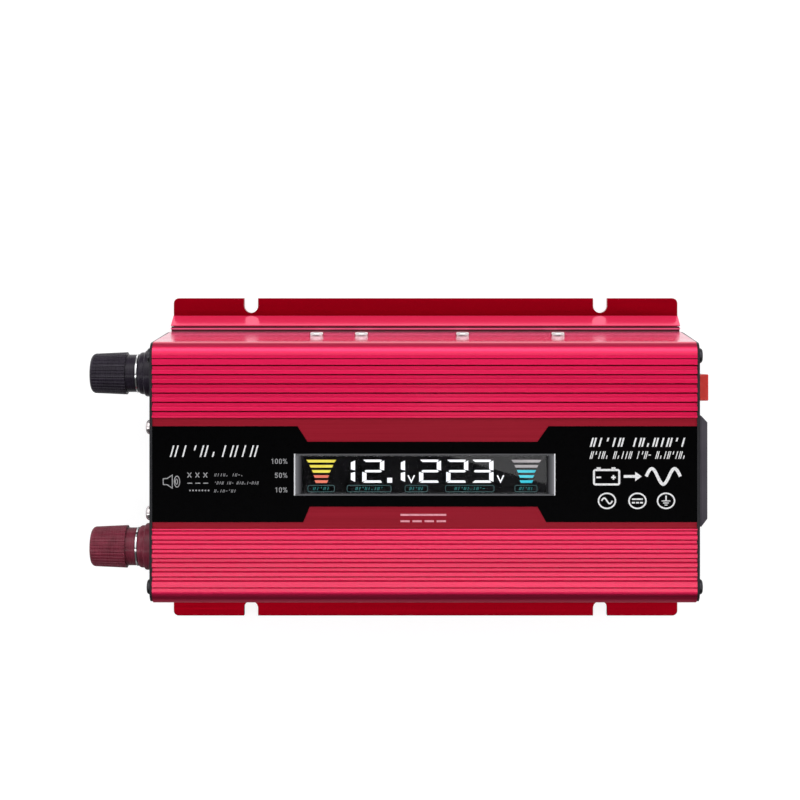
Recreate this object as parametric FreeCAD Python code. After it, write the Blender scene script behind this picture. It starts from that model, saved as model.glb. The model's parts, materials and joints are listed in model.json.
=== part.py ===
import FreeCAD, Part
import math
import os

# A small DC to AC power inverter in a finned, anodised aluminium case.
# Millimetres. X runs from the DC (battery) end to the AC (outlet) end, Y from front to rear,
# and Z up out of the label. The origin is on the underside of the base, midway between the
# four mounting notches.

# ---- driving dimensions: case ----
CASE_LENGTH = 200.0
FLANGE_SPAN = 126.0
FLANGE_T = 3.0
FLANGE_CORNER_R = 2.0
CASE_TOP = 58.0
WALL_FOOT_Y = 50.1  # outer face of the side wall where it leaves the slot behind the base lip
WALL_FOOT_Z = 11.0
WALL_DRAFT = 0.047  # the side walls lean in by this much per mm of height
WALL_T = 2.41
CORNER_R = 4.7
ROOF_INSIDE = 54.8

# mounting notches
NOTCH_X = 69.3
NOTCH_R = 2.8
NOTCH_CENTRE_Y = 60.0

# base lip that the cover's walls stand inside
LIP_OUTER_Y = 56.1
LIP_CREST_Y = 52.6
LIP_CREST_Z = 10.6
LIP_INNER_Y = 52.25
SKIRT_OUTER_Y = 52.05
SKIRT_LIFT = 0.2  # gap under the cover's walls
BEAD_Y = (50.95, 51.5)  # a narrow bead along the wall's foot, with a slot on each side of it
BEAD_TOP = 11.0
SLOT_FLOOR = 9.0
RAIL_Y = (46.3, 47.8)
RAIL_TOP = 6.0

# fins along the top
GROOVE_COUNT = 6
GROOVE_FIRST = 21.9
GROOVE_PITCH = 3.38
GROOVE_MOUTH = 2.0
GROOVE_FLOOR = 0.9
GROOVE_DEPTH = 0.9
GROOVE_EDGE_R = 0.12
FINE_LINE_Y = 42.0
FINE_LINE_W = 0.5
FINE_LINE_DEPTH = 0.35
WALL_LINE_Z = 39.0
CHANNEL_Y = 20.3
CHANNEL_FLOOR = 57.0

# screw ports, in line with the corner screws of the end plates
PORT_Y = 42.8
PORT_TOP_Z = 51.0
PORT_LOW_Z = 8.4
PORT_R = 3.2
PORT_BORE_R = 1.5

# end plates
PLATE_T = 1.0
PLATE_HALF_Y = 49.8
PLATE_TOP_Y = 47.5
PLATE_LOW_Z = 0.6
PLATE_TOP_Z = 57.5
PLATE_CORNER_R = 4.4
PLATE_SHOULDER_Z = 12.0  # the plate's sides lean in above here
CUTOUT_GAP = 0.2  # how much larger an opening is than the part it takes
CORNER_SCREW_L = 9.0
VENT_PITCH = 3.4
VENT_W = 1.8
VENT_Z = (8.0, 16.0)
VENT_END_R = 0.85

# label and display
LABEL_T = 0.3
LABEL_HALF_X = 100.0
LABEL_Y = (-18.0, 17.2)
LABEL_NECK_Y = (-12.3, 11.5)
NECK_TOP_X = (-46.7, 45.4)  # where each slant of the upper edge meets the full height
NECK_TOP_IN_X = (-43.0, 41.4)
NECK_LOW_X = (-44.6, 44.6)
NECK_LOW_IN_X = (-42.2, 41.4)
WINDOW_CX = 0.0
WINDOW_CY = -0.5
WINDOW_L = 96.0
WINDOW_W = 15.4
BEZEL_END = 2.9
BEZEL_SIDE = 0.6
BEZEL_CHAMFER = 0.5  # polished bevel along each short end
BEZEL_TOP = 57.9
BEZEL_LOW = 55.2
LENS_Z = (56.7, 57.5)
GLASS_Z = (55.05, 56.6)
BACKLIGHT_Z = (52.4, 55.0)
DISPLAY_BOARD_Z = (50.8, 52.4)
DISPLAY_BOARD_HALF = (57.0, 15.5)
DISPLAY_SCREW_AT = (52.5, 12.0)
DISPLAY_SCREW = (2.0, 1.4, 1.0)  # head radius, head height, shank radius
DISPLAY_HOLE_R = 1.1
DISPLAY_THREAD_R = 1.05
SPACER_R = 2.4
BEZEL_GAP = 0.1  # total play in each direction
BEZEL_LAND = 0.18  # share of each short end left flat before it slopes
LENS_GAP = 0.3
GLASS_GAP = (0.5, 0.4)
BACKLIGHT_GAP = (0.8, 0.6)
RIBBON_X = (-53.4, -52.8)
RIBBON_HALF_Y = 8.0

# rear wall clamp screws and the transistors they hold
CLAMP_SCREW_X = (-41.4, -24.3, 14.3, 50.7)
CLAMP_SCREW_Z = 30.0
CLAMP_SEAT_Y = 49.0
PAD_FACE_Y = 45.5  # flat land inside the rear wall
PAD_LAND_Z = (14.5, 40.0)
THERMAL_PAD_T = 0.3
THERMAL_PAD_X = (-52.0, 61.0)
THERMAL_PAD_Z = (15.5, 35.0)
TAB_T = 1.3
TRANSISTOR_W = 10.2
PACKAGE_DROP = 3.7  # from the screw down to the moulded body
PACKAGE_H = 9.2
PACKAGE_T = 4.5
LEG_PITCH = 2.54
LEG_SIZE = (0.8, 0.6)
LEG_IN = 2.4  # from the tab's face in to the legs
LEG_HOLE_R = 0.6
CLAMP_BAR_T = 2.2
CLAMP_BAR_W = 6.4
CLAMP_BAR_END = 6.5  # the bar runs this far past its screws

# screws
M3_SHANK_R = 1.45
M3_BORE_R = 1.5
M3_CLEAR_R = 1.65
HEAD_R = 2.8
HEAD_H = 1.75

# main board
BOARD_X = (-84.0, 76.0)
BOARD_HALF_Y = 44.5
BOARD_Z = (12.5, 14.1)
STANDOFF_AT = ((-80.0, 17.0), (-80.0, -17.0), (-4.0, 34.0), (-4.0, -34.0), (70.0, 36.0), (70.0, -36.0))
STANDOFF_FLATS = 5.5
BOARD_SCREW_L = 7.0

# parts on the main board; heights are above the board
TRANSFORMER_X = (-30.0, 8.0)
TRANSFORMER_Y = -6.0
CORE_SIZE = (33.0, 13.0)
CORE_Z = (1.5, 32.5)
CORE_WINDOW_X = (5.6, 11.4)
CORE_YOKE = 5.0
COIL_SIZE = (22.0, 25.0)
COIL_Z = (7.0, 27.0)
COIL_CORNER_R = 4.5
COIL_BORE = (11.4, 13.2)
COIL_RAIL = (20.0, 4.0)
COIL_RAIL_AT = 9.5
BUS_CAPACITOR_AT = (46.0, -22.0)
BUS_CAPACITOR = (12.5, 31.0)  # radius and height
INPUT_CAPACITOR_X = -62.0
INPUT_CAPACITOR_Y = (-30.0, 30.0)
INPUT_CAPACITOR = (8.0, 28.0)
CAN_GROOVE_Z = 3.2
CAN_GROOVE_R = 1.1
CHOKE_AT = (40.0, 16.0)
CHOKE_R = (5.0, 12.0)
CHOKE_H = 11.0
CHOKE_ROUND = 2.2
BUZZER_AT = (62.0, 24.0)
BUZZER_R = 6.0
BUZZER_H = 9.0
BUZZER_HOLE_R = 1.2
FUSE_X = -73.5
FUSE_Y = (-10.2, 10.2)
FUSE_BODY = (5.0, 19.2)
FUSE_BODY_Z = (2.0, 14.0)
FUSE_NOTCH_X = (-77.0, -75.2)
FUSE_NOTCH_W = 7.0
FUSE_NOTCH_Z = 5.0
FUSE_BLADE = (0.7, 5.0)
FUSE_BLADE_AT = 6.5
FUSE_SLOT = (1.0, 5.4)

# terminals: the axis is along X
TERMINAL_Z = 31.0
TERMINAL_Y = {"negative": 35.0, "positive": -31.0}
STUD_R = 3.0
STUD_BORE_R = 3.06
COLLAR_X = -109.0
COLLAR_FOOT_R = 8.85
COLLAR_FOOT_L = 5.6
COLLAR_STEP_R = 8.0
WASHER_T = 0.55
WASHER_R = 7.35
STACK_GAP = 0.05
NECK_R = 7.15
NECK_L = 3.8
KNOB_TIP_X = -127.0
KNOB_R = 8.05
KNOB_TIP_R = 7.45
KNOB_TIP_ROUND = 1.9
KNOB_FLUTES = 36
FLUTE_R = 0.42
FLUTE_CENTRE_R = 8.18
STUD_TIP_X = -121.5
STUD_INNER_X = -88.5
SLEEVE_R = 5.0
SLEEVE_INNER_X = -97.6
SLEEVE_L = 5.0
STUD_CHAMFER = 0.6
KNOB_DISH_RIM = 2.6
KNOB_DISH_DEPTH = 1.4
BUSBAR_T = 1.5
BUSBAR_W = 14.0
BUSBAR_FOOT_X = -75.0
BUSBAR_OVER = 7.0  # how far it stands above the stud's axis
BUSBAR_CORNER_R = 3.0
NUT_FLATS = 10.0
NUT_H = 5.0

# fan
FAN_Y = 0.0
FAN_Z = 31.0
FAN_SIZE = 40.0
FAN_DEPTH = 10.0
FAN_BORE_R = 18.9
FAN_PITCH = 32.0
FAN_HUB_R = 9.4
FAN_TIP_R = 18.2
FAN_BLADES = 7
FAN_HEAD_H = 2.8
FAN_SCREW_L = 9.0
FAN_CORNER_R = 3.0
FAN_BLADE_CHORD = 7.2
FAN_BLADE_T = 0.9
FAN_BLADE_PITCH = 38.0  # degrees
FAN_HUB_L = 7.0
FAN_HUB_IN = 1.2  # behind the frame's outer face
FAN_HUB_WALL = 1.2
SPIDER_T = 1.5
SPIDER_ARM_W = 3.0
FAN_BOSS_R = 2.6
FAN_BOSS_L = 7.0
SHAFT_R = 1.0
BEARING_R = 1.06
GRILLE_RINGS = ((4.4, 6.6), (8.2, 10.4), (12.0, 14.2), (15.8, 18.0))
GRILLE_BAR = 2.6

# rocker switch
SWITCH_Y = 30.0
SWITCH_Z = 31.0
BEZEL_Y = 15.0
BEZEL_Z = 21.0
BEZEL_T = 2.3
SWITCH_BODY = (12.9, 19.2)
SWITCH_BACK_X = 87.0
ROCKER_W = 10.0
ROCKER_WINDOW = (10.6, 18.4)
ROCKER_PIVOT_X = 99.5
ROCKER_REACH = 6.6  # from the pivot out to the two ends of the rocker
ROCKER_DIP = 4.3
ROCKER_FACE_HALF = 7.9
ROCKER_SHOULDER = (2.0, 6.9)  # depth behind the pivot, half height
ROCKER_KEEL = (3.0, 3.0)
ROCKER_TILT = 12.0  # degrees either side of level
PIVOT_PIN_R = 1.2
PIVOT_HOLE_R = 1.26
PIVOT_PIN_L = 12.0
PIVOT_HOLE_L = 12.6
SWITCH_TAB_Z = 4.5  # above and below the switch's middle
SWITCH_TAB = (7.5, 0.8, 4.8)
SWITCH_TAB_HOLE = (5.0, 0.9)  # distance from the body, radius

# outlet
OUTLET_Z = 31.0
OUTLET_SIZE = 41.0
OUTLET_T = 4.0
OUTLET_BEVEL = 2.6
OUTLET_BODY = 36.0
OUTLET_WALL = 1.8
OUTLET_BACK_X = 84.0
LIVE_Y = 11.0
LIVE_Z = 26.5
EARTH_Z = 42.2
BLADE_SLOT = (2.1, 7.8)
PIN_SLOT = (6.6, 4.5)
EARTH_SLOT = (4.7, 9.4)
CONTACT_T = 0.7
BLADE_SLOT_Y = 6.6
PIN_HOLE_Y = 9.5
PIN_HOLE_R = 2.6
SEAM_IN = 1.6  # from the bevel in to the seam
SEAM_W = 0.8
SEAM_DEPTH = 0.5
LIVE_GAP = (6.0, 5.0)
EARTH_GAP = (5.2, 8.0)

# USB port
USB_Y = -31.0
USB_Z = 33.0
USB_SHELL = (13.2, 5.8)
USB_WALL = 0.4
USB_X = (88.0, 101.5)
USB_BACK_WALL = 0.6
USB_TONGUE_W = 11.0
USB_TONGUE_Z = (0.2, 2.1)
USB_TONGUE_BACK = 1.2
USB_BOARD_X = (80.0, 98.5)
USB_BOARD_W = 17.0
USB_BOARD_T = 1.2

END_X = CASE_LENGTH / 2
PLATE_OUT = END_X + PLATE_T
BOARD_TOP = BOARD_Z[1]


def vec(x, y, z):
    return FreeCAD.Vector(x, y, z)


def block(x, y, z):
    """A box between the two values given for each axis."""
    size = (x[1] - x[0], y[1] - y[0], z[1] - z[0])
    return Part.makeBox(size[0], size[1], size[2], vec(x[0], y[0], z[0]))


def around(centre, width):
    """The low and high ends of a span, from its middle and width."""
    return (centre - width / 2, centre + width / 2)


def rod(start, direction, r, length):
    return Part.makeCylinder(r, length, vec(*start), vec(*direction))


def slab(points, x0, x1):
    """A solid from a closed outline of (y, z) points, drawn out along X."""
    ring = [vec(x0, y, z) for y, z in points]
    face = Part.Face(Part.makePolygon(ring + ring[:1]))
    return face.extrude(vec(x1 - x0, 0, 0))


def plan(points, z0, z1):
    """A solid from a closed outline of (x, y) points, drawn out along Z."""
    ring = [vec(x, y, z0) for x, y in points]
    face = Part.Face(Part.makePolygon(ring + ring[:1]))
    return face.extrude(vec(0, 0, z1 - z0))


def side_view(points, y0, y1):
    """A solid from a closed outline of (x, z) points, drawn out along Y."""
    ring = [vec(x, y0, z) for x, z in points]
    face = Part.Face(Part.makePolygon(ring + ring[:1]))
    return face.extrude(vec(0, y1 - y0, 0))


def hexagon(start, direction, flats, length):
    """A hexagonal prism standing on start, with the given width across its flats."""
    r = flats / math.sqrt(3)
    ring = [vec(r * math.cos(math.radians(60 * k)), r * math.sin(math.radians(60 * k)), 0) for k in range(7)]
    prism = Part.Face(Part.makePolygon(ring)).extrude(vec(0, 0, length))
    turn = FreeCAD.Rotation(vec(0, 0, 1), vec(*direction))
    prism.Placement = FreeCAD.Placement(vec(*start), turn)
    return prism


def fuse(pieces):
    first, rest = pieces[0], pieces[1:]
    return first.fuse(rest).removeSplitter() if rest else first


def ease(shape, r, wanted):
    """Round the edges for which wanted(edge) is true."""
    edges = [e for e in shape.Edges if wanted(e)]
    return shape.makeFillet(r, edges)


def runs_along(edge, axis):
    """True for a straight edge parallel to an axis (0, 1 or 2)."""
    if not isinstance(edge.Curve, Part.Line):
        return False
    d = edge.Curve.Direction
    return abs(abs((d.x, d.y, d.z)[axis]) - 1) < 1e-6


def middle(edge):
    return edge.CenterOfMass


def pan_screw(seat, out, shank, head_r=HEAD_R, head_h=HEAD_H, shank_r=M3_SHANK_R):
    """A pan-head screw with a cross recess. seat is where the head rests, out points out of it."""
    head = rod((0, 0, 0), (0, 0, 1), head_r, head_h)
    head = ease(head, head_h * 0.55, lambda e: middle(e).z > head_h - 0.01)
    body = head.fuse(rod((0, 0, -shank), (0, 0, 1), shank_r, shank))
    arm, width, depth = head_r * 0.56, head_r * 0.2, head_h * 0.62
    for turn in (0, 90):
        slot = block((-arm, arm), (-width / 2, width / 2), (head_h - depth, head_h + 1))
        slot.rotate(vec(0, 0, 0), vec(0, 0, 1), turn)
        body = body.cut(slot)
    body.Placement = FreeCAD.Placement(vec(*seat), FreeCAD.Rotation(vec(0, 0, 1), vec(*out)))
    return body


def group(pieces):
    return Part.makeCompound(pieces)


# ---- case ----


def wall_y(z):
    """Outer face of the leaning side wall at a height."""
    return WALL_FOOT_Y - WALL_DRAFT * (z - WALL_FOOT_Z)


def mirrored(half):
    """A closed outline from its +Y half, listed from the bottom up to the middle."""
    return half + [(-y, z) for y, z in reversed(half)]


def notches():
    """The four open mounting notches, as one cutter."""
    cutters = []
    for x in (-NOTCH_X, NOTCH_X):
        for side in (-1, 1):
            cy = side * NOTCH_CENTRE_Y
            mouth = sorted((cy, side * (FLANGE_SPAN / 2 + 5)))
            cutters.append(rod((x, cy, -1), (0, 0, 1), NOTCH_R, FLANGE_T + 2))
            cutters.append(block(around(x, 2 * NOTCH_R), mouth, (-1, FLANGE_T + 1)))
    return fuse(cutters)


def base_tray():
    flat = block((-END_X, END_X), (-FLANGE_SPAN / 2, FLANGE_SPAN / 2), (0, FLANGE_T))
    flat = ease(flat, FLANGE_CORNER_R, lambda e: runs_along(e, 2))
    flat = ease(flat, 0.3, lambda e: runs_along(e, 0) and abs(middle(e).y) > FLANGE_SPAN / 2 - 0.1)
    parts = [flat]
    for side in (-1, 1):
        lip = [(LIP_INNER_Y, 1.0), (LIP_OUTER_Y, 1.0), (LIP_OUTER_Y, FLANGE_T + 0.6)]
        lip += [(LIP_CREST_Y, LIP_CREST_Z), (LIP_INNER_Y, LIP_CREST_Z)]
        parts.append(slab([(side * y, z) for y, z in lip], -END_X, END_X))
        rail = sorted((side * RAIL_Y[0], side * RAIL_Y[1]))
        parts.append(block((-END_X, END_X), rail, (1.0, RAIL_TOP)))
        port_y = side * PORT_Y
        parts.append(rod((-END_X, port_y, PORT_LOW_Z), (1, 0, 0), PORT_R, CASE_LENGTH))
        parts.append(block((-END_X, END_X), around(port_y, PORT_R), (1.0, PORT_LOW_Z - 1)))
    tray = fuse(parts).cut(notches())
    for side in (-1, 1):
        bore = rod((-END_X - 1, side * PORT_Y, PORT_LOW_Z), (1, 0, 0), PORT_BORE_R, CASE_LENGTH + 2)
        tray = tray.cut(bore)
    return tray


def cover_outline_outside():
    """The +Y half of the cover's outer outline, from the skirt up to the label channel."""
    line = [(SKIRT_OUTER_Y, FLANGE_T + SKIRT_LIFT), (SKIRT_OUTER_Y, SLOT_FLOOR), (BEAD_Y[1], SLOT_FLOOR)]
    line += [(BEAD_Y[1], BEAD_TOP), (BEAD_Y[0], BEAD_TOP), (BEAD_Y[0], SLOT_FLOOR)]
    line += [(wall_y(SLOT_FLOOR), SLOT_FLOOR)]
    low, high = around(WALL_LINE_Z, FINE_LINE_W)
    line += [(wall_y(low), low), (wall_y(WALL_LINE_Z) - FINE_LINE_DEPTH, WALL_LINE_Z), (wall_y(high), high)]
    line += [(wall_y(CASE_TOP), CASE_TOP)]
    half_line = FINE_LINE_W / 2
    line += [(FINE_LINE_Y + half_line, CASE_TOP), (FINE_LINE_Y, CASE_TOP - FINE_LINE_DEPTH)]
    line += [(FINE_LINE_Y - half_line, CASE_TOP)]
    for k in reversed(range(GROOVE_COUNT)):
        mouth = around(GROOVE_FIRST + k * GROOVE_PITCH, GROOVE_MOUTH)
        floor = around(GROOVE_FIRST + k * GROOVE_PITCH, GROOVE_FLOOR)
        line += [(mouth[1], CASE_TOP), (floor[1], CASE_TOP - GROOVE_DEPTH)]
        line += [(floor[0], CASE_TOP - GROOVE_DEPTH), (mouth[0], CASE_TOP)]
    line += [(CHANNEL_Y, CASE_TOP), (CHANNEL_Y, CHANNEL_FLOOR)]
    return line


def cover_outline_inside():
    """The +Y half of the cover's inner outline, from the skirt up to the roof."""
    line = [(wall_y(FLANGE_T) - WALL_T, FLANGE_T + SKIRT_LIFT)]
    line += [(wall_y(PAD_LAND_Z[0]) - WALL_T, PAD_LAND_Z[0]), (PAD_FACE_Y, PAD_LAND_Z[0])]
    line += [(PAD_FACE_Y, PAD_LAND_Z[1]), (wall_y(PAD_LAND_Z[1]) - WALL_T, PAD_LAND_Z[1])]
    line += [(wall_y(ROOF_INSIDE) - WALL_T, ROOF_INSIDE)]
    return line


def window_cut():
    """The opening for the display through the cover's roof."""
    y = around(WINDOW_CY, WINDOW_W)
    return block(around(WINDOW_CX, WINDOW_L), y, (ROOF_INSIDE - 1, CASE_TOP + 1))


def round_the_cover(cover):
    """The large top corners, then the edges of the fins."""
    edge_y = wall_y(CASE_TOP)

    def corner(e):
        outermost = abs(abs(middle(e).y) - edge_y) < 0.01
        return runs_along(e, 0) and abs(middle(e).z - CASE_TOP) < 0.01 and outermost

    def fin(e):
        y = abs(middle(e).y)
        return runs_along(e, 0) and abs(middle(e).z - CASE_TOP) < 0.01 and y < FINE_LINE_Y - 1

    return ease(ease(cover, CORNER_R, corner), GROOVE_EDGE_R, fin)


def top_cover():
    outer = slab(mirrored(cover_outline_outside()), -END_X, END_X)
    inner = slab(mirrored(cover_outline_inside()), -END_X - 1, END_X + 1)
    cover = round_the_cover(outer).cut(inner)
    for side in (-1, 1):
        cover = cover.fuse(rod((-END_X, side * PORT_Y, PORT_TOP_Z), (1, 0, 0), PORT_R, CASE_LENGTH))
        web = sorted((side * (PORT_Y - 1), side * (wall_y(PORT_TOP_Z) - 1.5)))
        cover = cover.fuse(block((-END_X, END_X), web, (PORT_TOP_Z - 1, ROOF_INSIDE + 1)))
    for side in (-1, 1):
        bore = rod((-END_X - 1, side * PORT_Y, PORT_TOP_Z), (1, 0, 0), PORT_BORE_R, CASE_LENGTH + 2)
        cover = cover.cut(bore)
    cover = cover.cut(window_cut())
    for x in CLAMP_SCREW_X:
        cover = cover.cut(rod((x, PAD_FACE_Y - 1, CLAMP_SCREW_Z), (0, 1, 0), M3_CLEAR_R, 12))
        cover = cover.cut(rod((x, CLAMP_SEAT_Y, CLAMP_SCREW_Z), (0, 1, 0), HEAD_R + 0.5, 5))
    for x in (-1, 1):
        for y in (-1, 1):
            at = (x * DISPLAY_SCREW_AT[0], y * DISPLAY_SCREW_AT[1], ROOF_INSIDE - 1)
            cover = cover.cut(rod(at, (0, 0, 1), DISPLAY_THREAD_R, 2.6))
    return cover.removeSplitter()


def plate_blank(x0, x1):
    """The outline that both end plates share."""
    low = [(PLATE_HALF_Y, PLATE_LOW_Z), (PLATE_HALF_Y, PLATE_SHOULDER_Z), (PLATE_TOP_Y, PLATE_TOP_Z)]
    blank = slab(mirrored(low), x0, x1)
    blank = ease(blank, PLATE_CORNER_R, lambda e: runs_along(e, 0) and middle(e).z > PLATE_TOP_Z - 0.1)
    for y, z in corner_screw_places():
        blank = blank.cut(rod((x0 - 1, y, z), (1, 0, 0), M3_CLEAR_R, PLATE_T + 2))
    return blank


def corner_screw_places():
    return [(side * PORT_Y, z) for side in (-1, 1) for z in (PORT_LOW_Z, PORT_TOP_Z)]


def fan_screw_places():
    half = FAN_PITCH / 2
    return [(FAN_Y + i * half, FAN_Z + j * half) for i in (-1, 1) for j in (-1, 1)]


def fan_grille(x0):
    """Ring slots in front of the fan, broken by two crossed bars."""
    rings = []
    for near, far in GRILLE_RINGS:
        ring = rod((x0 - 1, FAN_Y, FAN_Z), (1, 0, 0), far, PLATE_T + 2)
        rings.append(ring.cut(rod((x0 - 1, FAN_Y, FAN_Z), (1, 0, 0), near, PLATE_T + 2)))
    slots = group(rings)
    for turn in (45, 135):
        bar = block((x0 - 2, x0 + PLATE_T + 2), (-20, 20), around(0, GRILLE_BAR))
        bar.rotate(vec(0, 0, 0), vec(1, 0, 0), turn)
        bar.translate(vec(0, FAN_Y, FAN_Z))
        slots = slots.cut(bar)
    return slots


def dc_end_plate():
    plate = plate_blank(-PLATE_OUT, -END_X).cut(fan_grille(-PLATE_OUT))
    for y in TERMINAL_Y.values():
        plate = plate.cut(rod((-PLATE_OUT - 1, y, TERMINAL_Z), (1, 0, 0), SLEEVE_R + 0.05, PLATE_T + 2))
    for y, z in fan_screw_places():
        plate = plate.cut(rod((-PLATE_OUT - 1, y, z), (1, 0, 0), M3_CLEAR_R, PLATE_T + 2))
    return plate


def ac_end_plate():
    plate = plate_blank(END_X, PLATE_OUT)
    through = (END_X - 1, PLATE_OUT + 1)
    outlet = around(0, OUTLET_BODY + CUTOUT_GAP)
    plate = plate.cut(block(through, outlet, around(OUTLET_Z, OUTLET_BODY + CUTOUT_GAP)))
    switch_y, switch_z = SWITCH_BODY
    switch = (around(SWITCH_Y, switch_y + CUTOUT_GAP), around(SWITCH_Z, switch_z + CUTOUT_GAP))
    plate = plate.cut(block(through, *switch))
    usb_y, usb_z = USB_SHELL
    usb = (around(USB_Y, usb_y + CUTOUT_GAP), around(USB_Z, usb_z + CUTOUT_GAP))
    plate = plate.cut(block(through, *usb))
    for cy in (SWITCH_Y, USB_Y):
        for k in range(-2, 3):
            slot = block(through, around(cy + VENT_PITCH * k, VENT_W), VENT_Z)
            plate = plate.cut(ease(slot, VENT_END_R, lambda e: runs_along(e, 0)))
    return plate


def corner_screws(out):
    """The four screws of one end plate. out is -1 at the DC end and +1 at the AC end."""
    places = [(out * PLATE_OUT, y, z) for y, z in corner_screw_places()]
    return group([pan_screw(place, (out, 0, 0), CORNER_SCREW_L) for place in places])


# ---- label and display ----


def label_overlay():
    """A film with a narrower middle and a hole for the display bezel."""
    low, high = LABEL_Y
    neck_low, neck_high = LABEL_NECK_Y
    line = [(-LABEL_HALF_X, low), (NECK_LOW_X[0], low), (NECK_LOW_IN_X[0], neck_low)]
    line += [(NECK_LOW_IN_X[1], neck_low), (NECK_LOW_X[1], low), (LABEL_HALF_X, low)]
    line += [(LABEL_HALF_X, high), (NECK_TOP_X[1], high), (NECK_TOP_IN_X[1], neck_high)]
    line += [(NECK_TOP_IN_X[0], neck_high), (NECK_TOP_X[0], high), (-LABEL_HALF_X, high)]
    film = plan(line, CHANNEL_FLOOR, CHANNEL_FLOOR + LABEL_T)
    return film.cut(window_cut())


def display_bezel():
    """A bright frame with wide sloping ends, each with a bevel along its outer edge."""
    x = around(WINDOW_CX, WINDOW_L - BEZEL_GAP)
    y = around(WINDOW_CY, WINDOW_W - BEZEL_GAP)
    frame = block(x, y, (BEZEL_LOW, BEZEL_TOP))
    inside_x = (x[0] + BEZEL_END, x[1] - BEZEL_END)
    inside_y = (y[0] + BEZEL_SIDE, y[1] - BEZEL_SIDE)
    frame = frame.cut(block(inside_x, inside_y, (BEZEL_LOW - 1, BEZEL_TOP + 1)))
    drop = LENS_Z[1] - 0.1
    for inner, outer in ((inside_x[0], x[0]), (inside_x[1], x[1])):
        mid = outer + (inner - outer) * BEZEL_LAND
        wedge = [(mid, BEZEL_TOP), (inner, drop), (inner, BEZEL_TOP)]
        frame = frame.cut(side_view(wedge, inside_y[0], inside_y[1]))
        bevel_in = outer + math.copysign(BEZEL_CHAMFER, inner - outer)
        bevel = [(outer, BEZEL_TOP - BEZEL_CHAMFER), (bevel_in, BEZEL_TOP), (outer, BEZEL_TOP)]
        frame = frame.cut(side_view(bevel, y[0], y[1]))
    return frame


def display_window():
    x = around(WINDOW_CX, WINDOW_L - LENS_GAP - 2 * BEZEL_END)
    y = around(WINDOW_CY, WINDOW_W - LENS_GAP - 2 * BEZEL_SIDE)
    return ease(block(x, y, LENS_Z), 0.2, lambda e: middle(e).z > LENS_Z[1] - 0.01)


def lcd_glass():
    x = around(WINDOW_CX, WINDOW_L - GLASS_GAP[0] - 2 * BEZEL_END)
    return block(x, around(WINDOW_CY, WINDOW_W - GLASS_GAP[1] - 2 * BEZEL_SIDE), GLASS_Z)


def lcd_backlight():
    x = around(WINDOW_CX, WINDOW_L - BACKLIGHT_GAP[0] - 2 * BEZEL_END)
    return block(x, around(WINDOW_CY, WINDOW_W - BACKLIGHT_GAP[1] - 2 * BEZEL_SIDE), BACKLIGHT_Z)


def display_screw_places():
    x, y = DISPLAY_SCREW_AT
    return [(i * x, j * y) for i in (-1, 1) for j in (-1, 1)]


def display_board():
    half_x, half_y = DISPLAY_BOARD_HALF
    board = block((-half_x, half_x), (-half_y, half_y), DISPLAY_BOARD_Z)
    board = ease(board, 1.5, lambda e: runs_along(e, 2))
    for x, y in display_screw_places():
        board = board.cut(rod((x, y, DISPLAY_BOARD_Z[0] - 1), (0, 0, 1), DISPLAY_HOLE_R, 4))
    return board


def display_spacers():
    tubes = []
    low, height = DISPLAY_BOARD_Z[1], ROOF_INSIDE - DISPLAY_BOARD_Z[1]
    for x, y in display_screw_places():
        tube = rod((x, y, low), (0, 0, 1), SPACER_R, height)
        tubes.append(tube.cut(rod((x, y, low - 1), (0, 0, 1), DISPLAY_HOLE_R, height + 2)))
    return group(tubes)


def display_screws():
    seat = DISPLAY_BOARD_Z[0]
    shank = ROOF_INSIDE - seat + 1.5
    places = display_screw_places()
    return group([pan_screw((x, y, seat), (0, 0, -1), shank, *DISPLAY_SCREW) for x, y in places])


def display_ribbon():
    """A flat cable from the display board down to the main board."""
    return block(RIBBON_X, (-RIBBON_HALF_Y, RIBBON_HALF_Y), (BOARD_TOP, DISPLAY_BOARD_Z[0]))


# ---- power transistors ----


def clamp_screws():
    shank = CLAMP_SEAT_Y - (PAD_FACE_Y - THERMAL_PAD_T - TAB_T - CLAMP_BAR_T)
    return group([pan_screw((x, CLAMP_SEAT_Y, CLAMP_SCREW_Z), (0, 1, 0), shank) for x in CLAMP_SCREW_X])


def thermal_pad():
    pad = block(THERMAL_PAD_X, (PAD_FACE_Y - THERMAL_PAD_T, PAD_FACE_Y), THERMAL_PAD_Z)
    for x in CLAMP_SCREW_X:
        pad = pad.cut(rod((x, PAD_FACE_Y - 1, CLAMP_SCREW_Z), (0, 1, 0), M3_CLEAR_R, 2))
    return pad


def transistor(x):
    """A flat power package: metal tab with a hole, moulded body and three legs into the board."""
    tab_face = PAD_FACE_Y - THERMAL_PAD_T
    tab_y = (tab_face - TAB_T, tab_face)
    body_top = CLAMP_SCREW_Z - PACKAGE_DROP
    body_low = body_top - PACKAGE_H
    tab = block(around(x, TRANSISTOR_W), tab_y, (body_low + 0.5, CLAMP_SCREW_Z + 2.8))
    tab = tab.cut(rod((x, tab_y[0] - 1, CLAMP_SCREW_Z), (0, 1, 0), M3_CLEAR_R, TAB_T + 2))
    body = block(around(x, TRANSISTOR_W - 0.2), (tab_face - PACKAGE_T, tab_face - 0.5), (body_low, body_top))
    body = ease(body, 0.4, lambda e: runs_along(e, 2) and middle(e).y < tab_face - 2)
    legs = []
    for k in (-1, 0, 1):
        leg_y = around(tab_face - LEG_IN, LEG_SIZE[1])
        legs.append(block(around(x + LEG_PITCH * k, LEG_SIZE[0]), leg_y, (BOARD_Z[0] - 0.6, body_low + 0.1)))
    return fuse([body, tab] + legs)


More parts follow.
